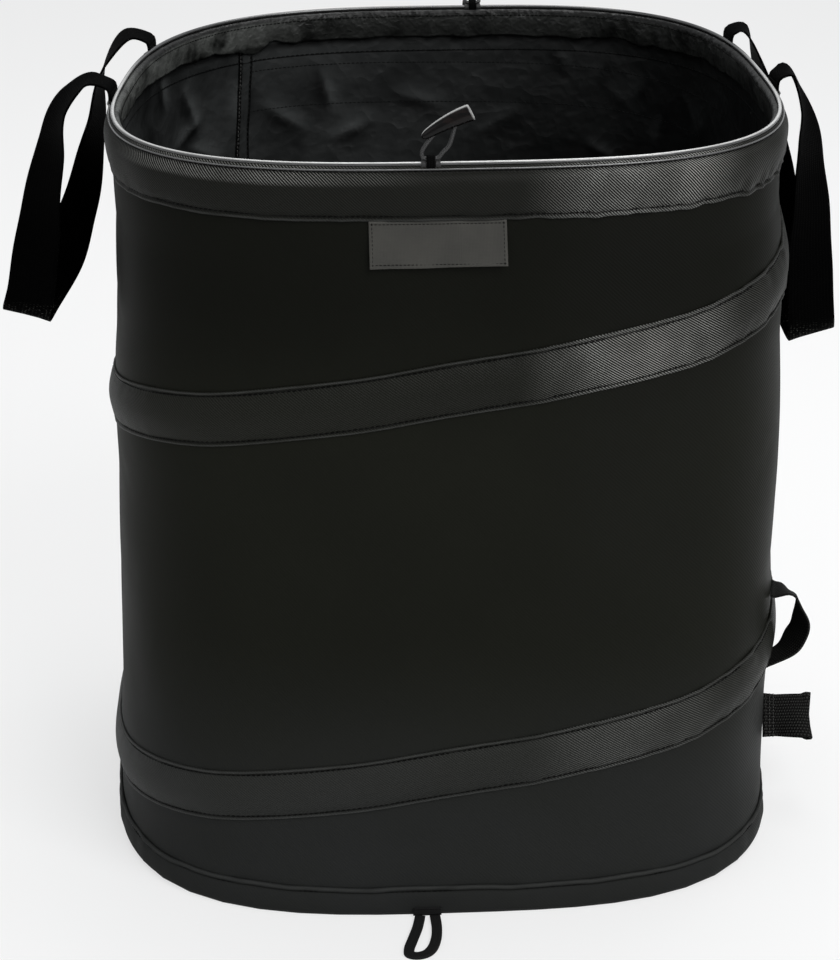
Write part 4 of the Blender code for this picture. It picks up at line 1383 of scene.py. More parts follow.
@dataclass
class Tub:
    """The wall, its seam, the sewn spiral and the foot."""

    shop: Workshop
    stations: int = 384
    rows: int = 62
    fine_from: float = 0.448
    fine_rows: int = 54
    tape_width: float = 0.014
    seam_bottom: float = 0.0145
    slack: float = 0.0016
    held_reach: float = 0.045
    foot_stations: int = 448
    rim_row: float = 0.5612
    foot_row: float = 0.0205
    spring_offset: float = 0.0022
    spring_radius: float = 0.0016
    tip_length: float = 0.0126
    tip_girth: float = 0.0038

    def build(self) -> None:
        """Makes every piece of the tub."""
        self.wall()
        self.seam()
        self.casing()
        self.spring()
        self.hem()
        nodes = self.shop.frame["nodes"]
        self.shop.dress(nodes["base_panel"], "floor_sheet")
        for hoop in ("bottom_hoop", "top_hoop"):
            self.shop.dress(nodes[hoop], "hoop_wire")
            self.shop.dress(nodes[f"{hoop}_ferrule"], "spring_wire")

    def wall_offset(self, share: Array, z: Array) -> Array:
        """How far the slack cloth stands in from the taut wall.

        It is smooth across the front, creased at the sides and the back, and held at the rims
        and by the spiral.

        Args:
            share: Share of the way round.
            z: Height.

        Returns:
            Metres out at each point.
        """
        free = np.minimum(np.abs(z - SIZES.hem_top), np.abs(z - SIZES.band_bottom))
        for turn in range(-1, 4):
            place = share + turn
            inside = (place >= SPIRAL.start) & (place <= SPIRAL.end)
            near = np.maximum(np.abs(z - SPIRAL.height(place)) - SPIRAL.width / 2, 0.0)
            free = np.where(inside, np.minimum(free, near), free)
        held = smooth(free, 0.0, self.held_reach)
        way = share * OUTLINE.perimeter
        back = smooth(np.cos(TURN * (share - 0.25)), -0.75, 0.15)
        soft = ripple(way, 3, (0.30, 0.0008), (0.17, 0.0006), (0.11, 0.0004))
        soft = soft * np.sin(z * 24.0 + 3.0 * share)
        creased = (0.10 + 0.90 * back) * Creases().height(way, z)
        return held * (soft * (0.5 + 0.5 * back) - creased - self.slack)

    def inside(self, share: Array, z: Array, lift: Array) -> Array:
        """Points so far off the cloth's inner face."""
        return OUTLINE.place(share, z, self.wall_offset(share, z) - SIZES.cloth - lift)

    def wall(self) -> None:
        """The wall cloth, with its coated side inward."""
        shares, _, closed_way = OUTLINE.ring(self.stations)
        low = np.linspace(SIZES.wall_bottom, self.fine_from, self.rows, endpoint=False)
        heights = np.r_[low, np.linspace(self.fine_from, SIZES.wall_top, self.fine_rows)]
        share, z = np.meshgrid(shares, heights, indexing="ij")
        points = OUTLINE.place(share, z, self.wall_offset(share, z))
        obj = make_grid("wall_cloth", points, (closed_way, heights), (True, False))
        mark(obj, "edge", 0.0)
        # The placed folds' painted light and shade, which the lining reads as fold.
        mark(obj, "fold", Creases().tone(share * OUTLINE.perimeter, z))
        for finish in ("coated_twill", "slick_lining"):
            obj.data.materials.append(self.shop.finishes[finish])
        obj = thicken(obj, SIZES.cloth, inner=1)
        self.shop.seat(obj, "base", "shell_fabric", "", "wall_panel", soft=True)

    def seam(self) -> None:
        """The binding over the wall's upright seam, with its two rows of stitches."""
        half = self.tape_width / 2 / OUTLINE.perimeter
        heights = np.linspace(self.seam_bottom, SIZES.facing_bottom - 0.0004, 120)
        shares = np.linspace(SPIRAL.start - half, SPIRAL.start + half, 9)
        share, z = np.meshgrid(shares, heights, indexing="ij")
        across = np.linspace(-1.0, 1.0, 9)[:, None]
        points = self.inside(share, z, 0.0007 + 0.0006 * (1 - across**4) + 0.0003 * np.sin(z * 160.0))
        ways = ((shares - shares[0]) * OUTLINE.perimeter, heights)
        obj = make_grid("seam_binding", points, ways, flip=True)
        # Painted shadow along both edges of the binding, which the lining darkens where edge is below 0.
        dark = np.array([1.0, 0.7, 0.0, 0.0, 0.0, 0.0, 0.2, 1.0, 1.0])[:, None]
        mark(obj, "edge", np.broadcast_to(-dark, share.shape))
        obj = thicken(obj, SIZES.binding)
        self.shop.seat(obj, "base", "binding", "slick_lining", "wall_seam_tape", soft=True)
        places = [SPIRAL.start + part * 2 * half + 0 * heights for part in (-0.36, 0.30, 0.40)]
        lines = [self.inside(place, heights, 0.0016) for place in places]
        self.shop.sew("seam_stitches", lines[:2], "base", soft=True)
        self.shop.sew("seam_overlock", [lines[2][84:]], "base", "pale_thread", soft=True, pitch=0.0034)

    def casing(self) -> None:
        """The sleeve that winds round the wall over the spring, sewn on by both edges."""
        shares = np.linspace(SPIRAL.start, SPIRAL.end, int(self.stations * SPIRAL.turns))
        middle = SPIRAL.height(shares)
        half = np.array([1.0, 1.0, 0.985, 0.95, 0.90, 0.86, 0.80, 0.68, 0.52, 0.34, 0.17])
        part = np.r_[-half, 0.0, half[::-1]]
        fold = np.array([0.0001, 0.0008, 0.0015, 0.0018, 0.0015, 0.0010, 0.0013])
        crown = 0.0013 + 0.0041 * np.cos(part * math.pi / 2) ** 1.4
        crown[: len(fold)] = fold
        crown[-len(fold):] = fold[::-1]
        way = shares * OUTLINE.perimeter
        pucker = ripple(way, 8, (0.016, 0.00018), (0.027, 0.00022), (0.061, 0.00035))[:, None]
        pucker = pucker * np.clip(1.2 - np.abs(np.abs(part) - 0.75) * 2.5, 0, 1)
        tight = smooth(np.cos(TURN * (shares - 0.93)), 0.2, 1.0)[:, None]
        z = middle[:, None] + part * SPIRAL.width / 2 + ripple(way, 5, (0.12, 0.0005))[:, None]
        points = OUTLINE.place(shares[:, None], z, crown + pucker * (0.5 + 1.3 * tight))
        obj = make_grid("spiral_sleeve", points, (way, part * SPIRAL.width / 2 * 1.2))
        # For the material: the folded edges get a painted highlight and the stitched grooves just inside them
        # painted shade.
        ridge = peak(np.abs(part), 0.95, 0.05) * 0.8 - peak(np.abs(part), 0.86, 0.05)
        mark(obj, "edge", ridge)
        obj = thicken(obj, SIZES.binding)
        self.shop.seat(obj, "base", "shell_fabric", "sleeve_twill", "spiral_casing", soft=True)
        length = float(way_along(OUTLINE.place(shares, middle)).max())
        rows = [middle + part * SPIRAL.width / 2 for part in (-0.84, 0.84)]
        outer = [OUTLINE.place(shares, z, 0.0013) for z in rows]
        inner = [self.inside(shares, z, 0.0001) for z in rows]
        ring = OUTLINE.ring(self.stations)[0]
        held = self.inside(ring, np.full_like(ring, self.rim_row), 0.0002)
        sew = self.shop.sew
        sew("sleeve_stitches", outer, "base", soft=True)
        sew("sleeve_stitches_inside", inner, "base", "inner_thread", soft=True, pitch=0.0038)
        sew("rim_stitches_inside", [held], "base", "inner_thread", True, True, 0.0044, 0.0006)

    def spring(self) -> None:
        """The spring wire in the sleeve and its two moulded tips."""
        inset = self.tip_length / OUTLINE.perimeter
        shares = np.linspace(SPIRAL.start + inset, SPIRAL.end - inset, 480)
        line = OUTLINE.place(shares, SPIRAL.height(shares), self.spring_offset)
        seat = ("base", "spring_steel", "spring_wire", "spiral_spring")
        self.shop.draw("spring_wire", [line], self.spring_radius, *seat, soft=True)
        for name, node, end, way in (
            ("spring_tip_low", "spring_cap_lower", SPIRAL.start, 1),
            ("spring_tip_high", "spring_cap_upper", SPIRAL.end, -1),
        ):
            steps = np.array([0.0003, 0.0010, 0.0030, 0.0060, 0.0090, 0.0121])
            places = end + way * steps / OUTLINE.perimeter
            path = OUTLINE.place(places, SPIRAL.height(places), self.spring_offset)
            girth = self.tip_girth * np.array([0.35, 0.75, 1.0, 0.96, 1.0, 0.94])
            tip = sweep(name, path, UP, round_section(16), girth, girth)
            self.shop.seat(tip, "base", "tip_plastic", "moulded_plastic", node, soft=True)

    def hem(self) -> None:
        """The binding round the foot, with a raised seam along its top edge."""
        offset, z, along = profile_line(
            [(-0.0013, 0.0120), (-0.0024, 0.0135), (-0.0045, 0.0131), (-0.0070, 0.0117), (-0.0086, 0.0090),
             (-0.0087, 0.0040), (-0.0078, 0.0023), (-0.0060, 0.0020), (0.0000, 0.0019), (0.0012, 0.0021),
             (0.0022, 0.0034), (0.0027, 0.0060), (0.0028, 0.0095), (0.0026, 0.0130), (0.0021, 0.0165),
             (0.0013, 0.0192), (0.0011, 0.0205), (0.0016, 0.0216), (0.0019, 0.0228), (0.0015, 0.0237),
             (0.0006, 0.0240), (0.0001, 0.0236)], 0.0010
        )
        shares, way, closed_way = OUTLINE.ring(self.foot_stations)
        outer = smooth(offset, -0.0005, 0.0015)
        bulge = ripple(way, 21, (0.021, 0.00016), (0.034, 0.00022), (0.090, 0.00035))[:, None]
        rise = ripple(way, 22, (0.14, 0.0005), (0.06, 0.0003))[:, None] * smooth(z, 0.010, 0.022)
        points = OUTLINE.place(shares[:, None], z + rise, offset + bulge * outer * smooth(z, 0.003, 0.008))
        obj = make_grid("foot_binding", points, (closed_way, along), (True, False), flip=True)
        # For the material: a painted highlight on the top edge and painted shade in the stitched groove below
        # it, on the outer side only.
        edge = (peak(z, 0.0230, 0.0012) * 0.7 - peak(z, 0.0206, 0.0012)) * outer
        mark(obj, "edge", edge)
        obj = thicken(obj, SIZES.binding)
        self.shop.seat(obj, "base", "shell_fabric", "coated_twill", "base_hem")
        self.shop.sew("foot_stitches", [OUTLINE.place(shares, self.foot_row, 0.0015)], "base", closed=True)


@dataclass
class Rim:
    """The sewn mouth: an outer sleeve, a gathered facing, the piping and the stitches."""

    shop: Workshop
    stations: int = 672
    root_ys: tuple[float, float] = (-0.026, 0.116)
    facing_cloth: float = 0.0004
    lip_out: float = 0.0004
    piping_height: float = 0.5984
    piping_inset: float = 0.0014
    piping_radius: float = 0.0016
    welt_height: float = 0.5951
    welt_radius: float = 0.00065
    low_row: float = 0.5610
    top_row: float = 0.5940
    facing_row: float = 0.5925

    def build(self) -> None:
        """Makes every piece of the rim."""
        self.sleeve()
        self.facing()
        shares = OUTLINE.ring(self.stations)[0]
        lip = self.lip(shares)
        draw, sew = self.shop.draw, self.shop.sew
        cord = OUTLINE.place(shares, self.piping_height, -self.piping_inset)
        seat = ("rim", "piping", "piping_vinyl", "rim_piping")
        draw("piping_cord", [cord], self.piping_radius, *seat, closed=True)
        welt = OUTLINE.place(shares, self.welt_height, lip + 2 * self.welt_radius)
        draw("piping_welt", [welt], self.welt_radius, "rim", "piping", "welt_vinyl", closed=True)
        rows = [(self.low_row, 0.0021), (self.top_row, lip + 0.0014)]
        lines = [OUTLINE.place(shares, height, out) for height, out in rows]
        sew("rim_stitches", lines, "rim", closed=True, pitch=0.0040)
        inner = OUTLINE.place(shares, self.facing_row, -0.0076)
        sew("facing_stitches", [inner], "rim", closed=True, pitch=0.0036)

    def lip(self, shares: Array) -> Array:
        """How far the sleeve's top edge stands out, which is more round the handles' ends.

        Args:
            shares: Shares of the way round.

        Returns:
            Metres out at each.
        """
        bulge = np.zeros_like(shares)
        for y in self.root_ys:
            for low in (0.75, 0.25):
                root = OUTLINE.share_at(y, 1, SIZES.rim_top, low, low + 0.5) % 1.0
                away = np.abs((shares - root + 0.5) % 1.0 - 0.5) * OUTLINE.perimeter
                bulge = np.maximum(bulge, 1 - smooth(away, 0.013, 0.019))
        return self.lip_out + 0.0025 * bulge

    def sleeve(self) -> None:
        """The outer sleeve: a rolled shoulder under the piping, then a flat fall to its hem."""
        offset, z, along = profile_line(
            [(0.0002, 0.5975), (0.0010, 0.5968), (0.0014, 0.5955), (0.0012, 0.5942), (0.0016, 0.5928),
             (0.0034, 0.5912), (0.0050, 0.5885), (0.0058, 0.5850), (0.0060, 0.5805), (0.0056, 0.5750),
             (0.0049, 0.5700), (0.0040, 0.5655), (0.0028, 0.5625), (0.0018, 0.5608), (0.0019, 0.5597),
             (0.0024, 0.5587), (0.0024, 0.5578), (0.0016, 0.5571), (0.0006, 0.5569), (0.0002, 0.5574)], 0.0012
        )
        shares, way, closed_way = OUTLINE.ring(self.stations)
        top, low = smooth(z, 0.5880, 0.5960), 1 - smooth(z, 0.5600, 0.5760)
        corner = 0.25 + smooth(np.cos(TURN * (shares - 0.90)), 0.55, 0.95)
        puckers = ripple(way, 31, (0.0115, 0.00035), (0.0185, 0.00045), (0.031, 0.0005)) * corner
        drape = ripple(way, 32, (0.052, 0.0004), (0.130, 0.0006))[:, None] * (1 - top) * 0.7
        offset = offset + (self.lip(shares) - self.lip_out)[:, None] * top + puckers[:, None] * low + drape
        rise = (ripple(way, 33, (0.070, 0.0005), (0.026, 0.0003)) * corner)[:, None] * low
        points = OUTLINE.place(shares[:, None], z + rise, offset)
        obj = make_grid("rim_sleeve", points, (closed_way, -along), (True, False), flip=True)
        # For the material: a painted highlight on the fold by the hem, painted shade in the stitched grooves
        # at the low row and under the shoulder.
        edge = peak(z, 0.5581, 0.0012) * 0.9 - peak(z, 0.5607, 0.0013) - peak(z, 0.5938, 0.0014)
        mark(obj, "edge", edge)
        obj = thicken(obj, SIZES.binding)
        self.shop.seat(obj, "rim", "shell_fabric", "sleeve_twill", "rim_outer_band")

    def facing(self) -> None:
        """The gathered inner facing, whose free lower edge stands off the wall in folds."""
        offset, z, along = profile_line(
            [(-0.0018, 0.5966), (-0.0036, 0.5970), (-0.0056, 0.5962), (-0.0067, 0.5943), (-0.0069, 0.5912),
             (-0.0068, 0.5874), (-0.0062, 0.5834), (-0.0052, 0.5796), (-0.0042, 0.5764),
             (-0.0036, 0.5738)], 0.0014
        )
        shares, way, closed_way = OUTLINE.ring(self.stations)
        down = 1 - smooth(z, 0.5738, 0.5950)
        loose = 0.25 + hump(shares, 0.365, 0.035) + 0.5 * hump(shares, 0.12, 0.07)
        folds = ripple(way, 41, (0.019, 0.0007), (0.031, 0.0011), (0.047, 0.0012), (0.083, 0.0010))
        sharp = np.abs(folds / 0.0035) ** 0.7 * 0.0035
        hang = ripple(way, 42, (0.058, 0.0016), (0.036, 0.0012), (0.11, 0.0018)) - 0.0008
        level = z + (hang * loose)[:, None] * down**2
        points = OUTLINE.place(shares[:, None], level, offset - (sharp * 1.3 * loose)[:, None] * down)
        obj = make_grid("rim_facing", points, (closed_way, -along), (True, False))
        obj = thicken(obj, self.facing_cloth)
        self.shop.seat(obj, "rim", "lining", "satin_facing", "rim_inner_facing")


@dataclass
class Label:
    """A bare cloth tag sewn on under the rim, without print."""

    shop: Workshop
    width: float = 0.098
    height: float = 0.034
    centre: float = -0.0156
    top: float = 0.5574
    thickness: float = 0.0005
    border: float = 0.955
    inset: float = 0.07
    row_lift: float = 0.0016

    def points(self, u: Array, v: Array, lift: Array, sway: float) -> Array:
        """Points of the tag.

        Args:
            u: -1 to 1 across it.
            v: 0 to 1 down it.
            lift: How far each point stands off the wall, besides the tag's own curl.
            sway: How far its lower corners are skewed.

        Returns:
            The points.
        """
        left, right = (
            OUTLINE.share_at(self.centre + self.width * part, 0, self.top, 0.5, 1.0) for part in (-0.5, 0.5)
        )
        curl = 0.0011 * v**2 + 0.0010 * v**3 * np.abs(u) ** 6
        z = self.top - v * self.height + sway * np.sin(u * 2.2) * v
        return OUTLINE.place(left + (right - left) * (u + 1) / 2, z, lift + curl)

    def build(self) -> None:
        """Makes the tag and the stitches round its border."""
        across, down = np.linspace(-1, 1, 61), np.linspace(0.0, 1.0, 25)
        u, v = np.meshgrid(across, down, indexing="ij")
        wave = 0.00035 * np.sin(u * 7.0 + v * 3.0) + 0.0005 * np.exp(-((u - 0.35) ** 2) * 30)
        lift = 0.0010 + wave * v
        ways = ((across + 1) / 2 * self.width, -down * self.height)
        obj = make_grid("label_tag", self.points(u, v, lift, 0.0004), ways, flip=True)
        mark(obj, "edge", smooth(np.maximum(np.abs(u), np.abs(v * 2 - 1)), self.border, 0.99))
        obj = thicken(obj, self.thickness, 1.0)
        self.shop.seat(obj, "base", "label_cloth", "tag_cloth", "label", soft=True)
        far, high, low = self.border, self.inset, 1 - self.inset
        frame = ((-far, high), (far, high), (far, low), (-far, low), (-far, high))
        sides = [np.linspace(start, end, 24).T for start, end in zip(frame, frame[1:])]
        lines = [self.points(u, v, self.row_lift, 0.0) for u, v in sides]
        self.shop.sew("label_stitches", lines, "base", soft=True, pitch=0.0028, thread=0.00028)


LEFT_ROUTE = (
    (0.01, 0.200, -0.012), (0.03, 0.420, 0.072), (0.12, 0.600, 0.280), (0.19, 0.723, 0.488),
    (0.24, 0.826, 0.701), (0.30, 0.920, 0.892), (0.36, 0.995, 0.988), (0.42, 1.000, 1.000),
    (0.48, 0.949, 0.959), (0.58, 0.731, 0.797), (0.67, 0.619, 0.644), (0.76, 0.535, 0.495),
    (0.86, 0.483, 0.318), (0.91, 0.400, 0.100), (0.965, 0.200, -0.020),
)
RIGHT_ROUTE = (
    (0.01, 0.185, -0.0066), (0.04, 0.395, 0.0941), (0.10, 0.540, 0.2210), (0.18, 0.669, 0.4004),
    (0.26, 0.766, 0.5974), (0.34, 0.863, 0.8031), (0.42, 0.968, 0.9694), (0.49, 1.000, 1.0000),
    (0.56, 0.925, 0.9562), (0.63, 0.760, 0.7943), (0.71, 0.640, 0.5974), (0.79, 0.550, 0.4004),
    (0.87, 0.450, 0.2210), (0.925, 0.340, 0.0800), (0.98, 0.190, -0.0080),
)
STRAP_TURNS = (
    (0.05, 1.00), (0.20, 1.00), (0.55, 0.85), (0.75, 0.65), (0.92, 0.35), (1.00, 0.12), (1.00, 0.02),
    (1.00, 0.00), (1.00, -0.05), (0.90, -0.30), (0.75, -0.60), (0.60, -0.80), (0.35, -0.95),
    (0.05, -1.00), (-0.10, -1.00),
)
STRAP_ROOT = (
    (0.0, 0.0275), (0.0, 0.0180), (0.0, 0.0095), (0.0001, 0.0050), (0.0009, 0.0016), (0.0030, -0.0002),
)


@dataclass
class CarryHandle:
    """One webbing carrying handle: a single length from its front root to its back root."""

    shop: Workshop
    side: Side
    route: Triples
    reach: float
    drop: float
    root_span: float = 0.142
    root_width: float = 0.026
    full_width: float = 0.038
    tilt: float = 0.28
    bend: float = 0.012
    spacing: float = 0.0026
    wave: float = 0.0006
    tack_rows: tuple[float, ...] = (0.0042, 0.0062, 0.0082)

    @property
    def label(self) -> str:
        """The handle's name in the record."""
        return f"handle_{self.side.name.lower()}"

    def build(self) -> None:
        """Makes the strap, bends it off its roots and sews its ends."""
        sign = self.side.value
        hinge, axis = self.shop.hinge(f"{self.label}_swing")
        axis = -sign * axis
        out = np.cross(axis, sign * UP)
        half = axis * self.root_span / axis[1] / 2
        front, back = hinge - half, hinge + half
        hanging = [
            front + (back - front) * way + out * self.reach * far - UP * self.drop * low
            for way, far, low in self.route
        ]
        start = [front + out * far - UP * low for far, low in STRAP_ROOT]
        finish = [back + out * far - UP * low for far, low in reversed(STRAP_ROOT)]
        count = len(STRAP_ROOT)
        across = [np.array([sign * x, y, self.tilt * x]) for x, y in STRAP_TURNS]
        turns = [*[axis] * count, *across, *[-axis] * count]
        narrow, taper = [self.root_width] * count, (self.root_width + self.full_width) / 2
        widths = [*narrow, taper, *[self.full_width] * (len(self.route) - 2), taper, *narrow]
        line = curve_through(np.c_[[*start, *hanging, *finish], turns, widths], self.spacing)
        path, direction, width = line[:, :3], unit(line[:, 3:6]), line[:, 6]
        way = way_along(path)
        held = smooth(np.minimum(way, way[-1] - way), 0.03, 0.10)
        wave = self.wave * np.sin(way * 95.0 + sign) * held
        path = path + np.cross(direction, tangents(path)) * wave[:, None]
        strap = sweep(f"{self.label}_webbing", path, direction, strap_section(12), width, SIZES.webbing)
        self.shop.dress(strap, "webbing")
        # Marks the strap's lowest bend, where the webbing gets painted highlights on its ribs.
        heights = np.array([vertex.co.z for vertex in strap.data.vertices])
        mark(strap, "edge", 1 - smooth(heights, heights.min() + 0.006, heights.min() + 0.024))
        start, end = tuple(hinge + out * 0.0004), tuple(hinge + out * self.bend)
        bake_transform(strap)
        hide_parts(*(f"{self.label}_{part}" for part in ("strap", "front_end", "back_end")))
        LOG.info("%s bends between rim and %s", strap.name, self.label)
        tack = np.linspace(-1, 1, 12)[:, None] * axis * self.root_width * 0.42
        lines = [
            root - UP * drop + out * face * SIZES.on_webbing + tack
            for root in (front, back) for drop in self.tack_rows for face in (1, -1)
        ]
        self.shop.sew(f"{self.label}_tacks", lines, "rim", pitch=0.0026, thread=0.00036)


@dataclass
class SideLoops:
    """The short grab loop and the folded tab low on the right."""

    shop: Workshop
    loop_width: float = 0.030
    loop_y: float = -0.110
    loop_z: float = 0.176
    reach: float = 0.032
    span: float = 0.060
    tab_width: float = 0.038
    tab_y: float = -0.078
    tab_z: float = 0.076
    tab_length: float = 0.038
    tab_gap: float = 0.0075
    tab_lean: float = 0.60
    tab_turn: float = 0.55
    tab_rows: tuple[float, ...] = (0.07, 0.15, 0.23)
    lap: float = 0.0009

    def grab(self) -> None:
        """The grab loop, which stands off the wall over the lower turn of the spiral."""
        share = OUTLINE.share_at(self.loop_y, 1, self.loop_z, 0.75, 1.25)
        top, bottom = self.loop_z + self.span / 2, self.loop_z - self.span / 2
        arch = (
            (0.20, 0.0002), (0.44, -0.0020), (0.64, -0.0088), (0.73, -0.0180), (0.74, -0.0265),
            (0.66, -0.0370), (0.48, -0.0465), (0.28, -0.0540), (0.10, -0.0585),
        )
        loop = (
            (-0.0018, top + 0.0012), (-0.0006, top + 0.0006), (0.0010, top),
            *((self.reach * out, top + drop) for out, drop in arch),
            (0.0006, bottom), (-0.0008, bottom - 0.0008), (-0.0016, bottom - 0.0016),
        )
        lift = self.lap + SIZES.webbing / 2
        path = curve_through([OUTLINE.place(share, z, out + lift) for out, z in loop], 0.0020)
        side, _ = OUTLINE.frame(share, self.loop_z)
        way = way_along(path) / way_along(path)[-1]
        rise = 0.55 * hump(way, 0.70, 0.13) - 0.40 * hump(way, 0.20, 0.09)
        swing = 0.50 * hump(way, 0.50, 0.19)
        across = side + UP * rise[:, None] - np.cross(side, UP) * swing[:, None]
        obj = sweep("side_grab_webbing", path, across, strap_section(10), self.loop_width, SIZES.webbing)
        self.shop.seat(obj, "base", "webbing", "loop_webbing", "side_handle", soft=True)

    def tab(self) -> None:
        """The folded tab: both layers are sewn in the wall and the fold stands out."""
        share = OUTLINE.share_at(self.tab_y, 1, self.tab_z, 0.75, 1.25)
        turn = self.tab_width / 2 * math.sin(self.tab_lean) / OUTLINE.perimeter
        rise = self.tab_width / 2 * math.cos(self.tab_lean)
        low, high = (OUTLINE.place(share + s * turn, self.tab_z + s * rise, self.lap) for s in (-1, 1))
        across = unit(high - low)
        side, out = OUTLINE.frame(share, self.tab_z)
        out = unit(out - across * out.dot(across))
        root = (low + high) / 2 + out * 0.0002
        apart = np.cross(out, across)
        shut = SIZES.webbing / 2 + 0.0002
        wide = (self.tab_gap + SIZES.webbing) / 2
        fold = [
            (0.0, shut), (0.16, shut), (0.30, shut), (0.50, (shut + wide) / 2), (0.74, wide),
            (0.90, wide * 0.86), (0.98, wide * 0.45),
        ]
        fold += [(1.0, 0.0), *((way, -off) for way, off in fold[::-1])]
        path = curve_through([root + out * self.tab_length * way + apart * off for way, off in fold], 0.0018)
        stand = (path - root) @ out / self.tab_length
        width = self.tab_width * (0.90 + 0.13 * np.abs(stand - 0.28) ** 1.2 / 0.65)
        turned = across + side * (self.tab_turn * smooth(stand, 0.15, 1.0))[:, None]
        obj = sweep("side_tab_webbing", path, turned, strap_section(10), width, SIZES.webbing)
        self.shop.seat(obj, "base", "webbing", "loop_webbing", "side_tab", soft=True)
        row = np.linspace(-1, 1, 14)[:, None] * across * self.tab_width * 0.45
        lines = [
            root + out * self.tab_length * way + apart * face * (shut + SIZES.on_webbing) + row
            for way in self.tab_rows for face in (1, -1)
        ]
        self.shop.sew(
            "side_tab_stitches", lines, "base", "pale_thread", soft=True, pitch=0.0026, thread=0.00036
        )


FRONT_STRANDS = (
    (((-0.0018, 0.0, 0.0), (-0.0056, 0.0, 0.0010), (-0.0062, 0.0, 0.0050), (-0.0042, 0.0, 0.0090)), -0.0075),
    (((0.0018, 0.0, 0.0), (0.0054, 0.0, 0.0008), (0.0084, 0.0, 0.0044), (0.0128, 0.0, 0.0094)), 0.0075),
)
BACK_STRANDS = tuple(
    (
        ((s * 0.0018, 0.0, 0.0), (s * 0.0054, 0.0010, 0.0004), (s * 0.0058, 0.0050, 0.0014),
         (s * 0.0060, 0.0109, -0.0006), (s * 0.0060, 0.0145, -0.0050)),
        s * 0.0060,
    )
    for s in (-1.0, 1.0)
)


@dataclass
class Toggle:
    """A horn on a short cord, tied to the piping by a bound web loop."""

    shop: Workshop
    facing: Facing
    strands: Sequence[tuple[Triples, float]]
    middle: tuple[float, float, float]
    rake: float
    length: float = 0.040
    tip_radius: float = 0.0038
    lip_radius: float = 0.0066
    bow: float = 0.0016
    cord_size: float = 0.0030
    piping_drop: float = 0.0036
    wound_turns: float = 4.0
    wound_radius: float = 0.0024
    wound_thread: float = 0.00055
    wound_from: float = 0.0034
    web_width: float = 0.0060
    web_depth: float = 0.0011

    def build(self) -> None:
        """Makes the horn, its cord and the binding on the piping."""
        label = f"toggle_{self.facing.name.lower()}"
        hinge, _ = self.shop.hinge(f"{label}_tip")
        along = np.array([math.cos(self.rake), 0.0, math.sin(self.rake)])
        centre = hinge + self.middle
        self.horn(label, centre, along)
        ends = [[*(hinge + np.array(free)), centre + along * foot] for free, foot in self.strands]
        path = curve_through([*reversed(ends[0]), hinge, *ends[1]], 0.0012)
        across = [np.array([0.0, 1.0, 0.3])]
        for direction in tangents(path):
            across.append(unit(across[-1] - direction * across[-1].dot(direction)))
        size = self.cord_size
        obj = sweep(f"{label}_braid", path, np.array(across[1:]), round_section(12), size, size)
        self.shop.seat(obj, label, "cord", "braided_cord", f"{label}_cord")
        self.shop.cord(obj, path, size, "stiff")
        self.binding(label, hinge - UP * self.piping_drop)

    def horn(self, label: str, centre: Array, along: Array) -> None:
        """The horn: thin at one end, swelling to a rolled lip round a hollow at the other.

        Args:
            label: The toggle's name in the record.
            centre: The horn's middle.
            along: Its direction.
        """
        shape = np.array(
            [(-0.50, 0.10), (-0.495, 0.36), (-0.47, 0.66), (-0.42, 0.90), (-0.32, 1.08), (-0.15, 1.28),
             (0.0, 1.44), (0.15, 1.58), (0.30, 1.68), (0.40, 1.72), (0.455, 1.74), (0.480, 1.66),
             (0.487, 1.48), (0.478, 1.22), (0.455, 0.95), (0.44, 0.60), (0.435, 0.10)]
        )
        up = unit(UP - along * UP.dot(along))
        bow = self.bow * (1 - (shape[:, 0] * 2) ** 2)
        path = centre + along * (self.length * shape[:, :1]) + up * bow[:, None]
        girth = 2 * np.minimum(self.tip_radius * shape[:, 1], self.lip_radius)
        section = round_section(28)
        spread = (section * girth[:, None, None])[..., None]
        points = path[:, None] + np.cross(along, up) * spread[:, :, 0] + up * spread[:, :, 1] * 0.94
        ways = (way_along(path), np.linspace(0, 0.04, 29))
        obj = make_grid(f"{label}_body", points, ways, (False, True), caps=True)
        # Marks the horn's upper crest and its rolled lip for a painted highlight.
        crest = np.clip((section[:, 1] * 2 - 0.90) / 0.08, 0, 1)
        rolled = peak(shape[:, 0], 0.475, 0.02)
        mark(obj, "edge", np.maximum(crest, rolled[:, None]) * 0.8)
        rounding = obj.modifiers.new("rounding", "SUBSURF")
        rounding.levels = rounding.render_levels = 1
        self.shop.seat(settle(obj), label, "horn", "horn_resin", f"{label}_horn")

    def binding(self, label: str, centre: Array) -> None:
        """Thread wound over the piping on both sides of the cord, and the web loop between.

        Args:
            label: The toggle's name in the record.
            centre: The piping's middle at the cord.
        """
        t = np.linspace(0, 1, 90)
        angle = self.wound_turns * TURN * t
        radius = self.wound_radius + 0.0002 * np.sin(angle * 2)
        round_piping = [radius * np.cos(angle), radius * np.sin(angle)]
        shift = self.wound_from * (1 + t)
        lines = [centre + np.stack([side * shift, *round_piping], -1) for side in (-1, 1)]
        seat = ("rim", "binding", "braided_cord")
        self.shop.draw(f"{label}_whipping", lines, self.wound_thread, *seat)
        arc = np.linspace(-0.35 * math.pi, 1.35 * math.pi, 26)
        z = np.maximum(0.0006 + 0.0052 * np.sin(arc), -0.0026)
        path = centre + np.stack([0 * arc, 0.0031 * np.cos(arc), z], -1)
        across = np.array([1.0, 0.0, 0.0])
        web = sweep(f"{label}_web", path, across, strap_section(6), self.web_width, self.web_depth)
        self.shop.seat(web, "rim", "binding", "seam_tape", f"{label}_anchor")


CLOSURE_LINE = (
    (-0.50, 0.00), (-0.57, 0.10), (-0.69, 0.30), (-0.81, 0.55), (-0.77, 0.79), (-0.54, 0.90), (0.00, 0.94),
    (0.53, 0.90), (0.75, 0.79), (0.74, 0.54), (0.62, 0.28), (0.53, 0.10), (0.50, 0.00),
)


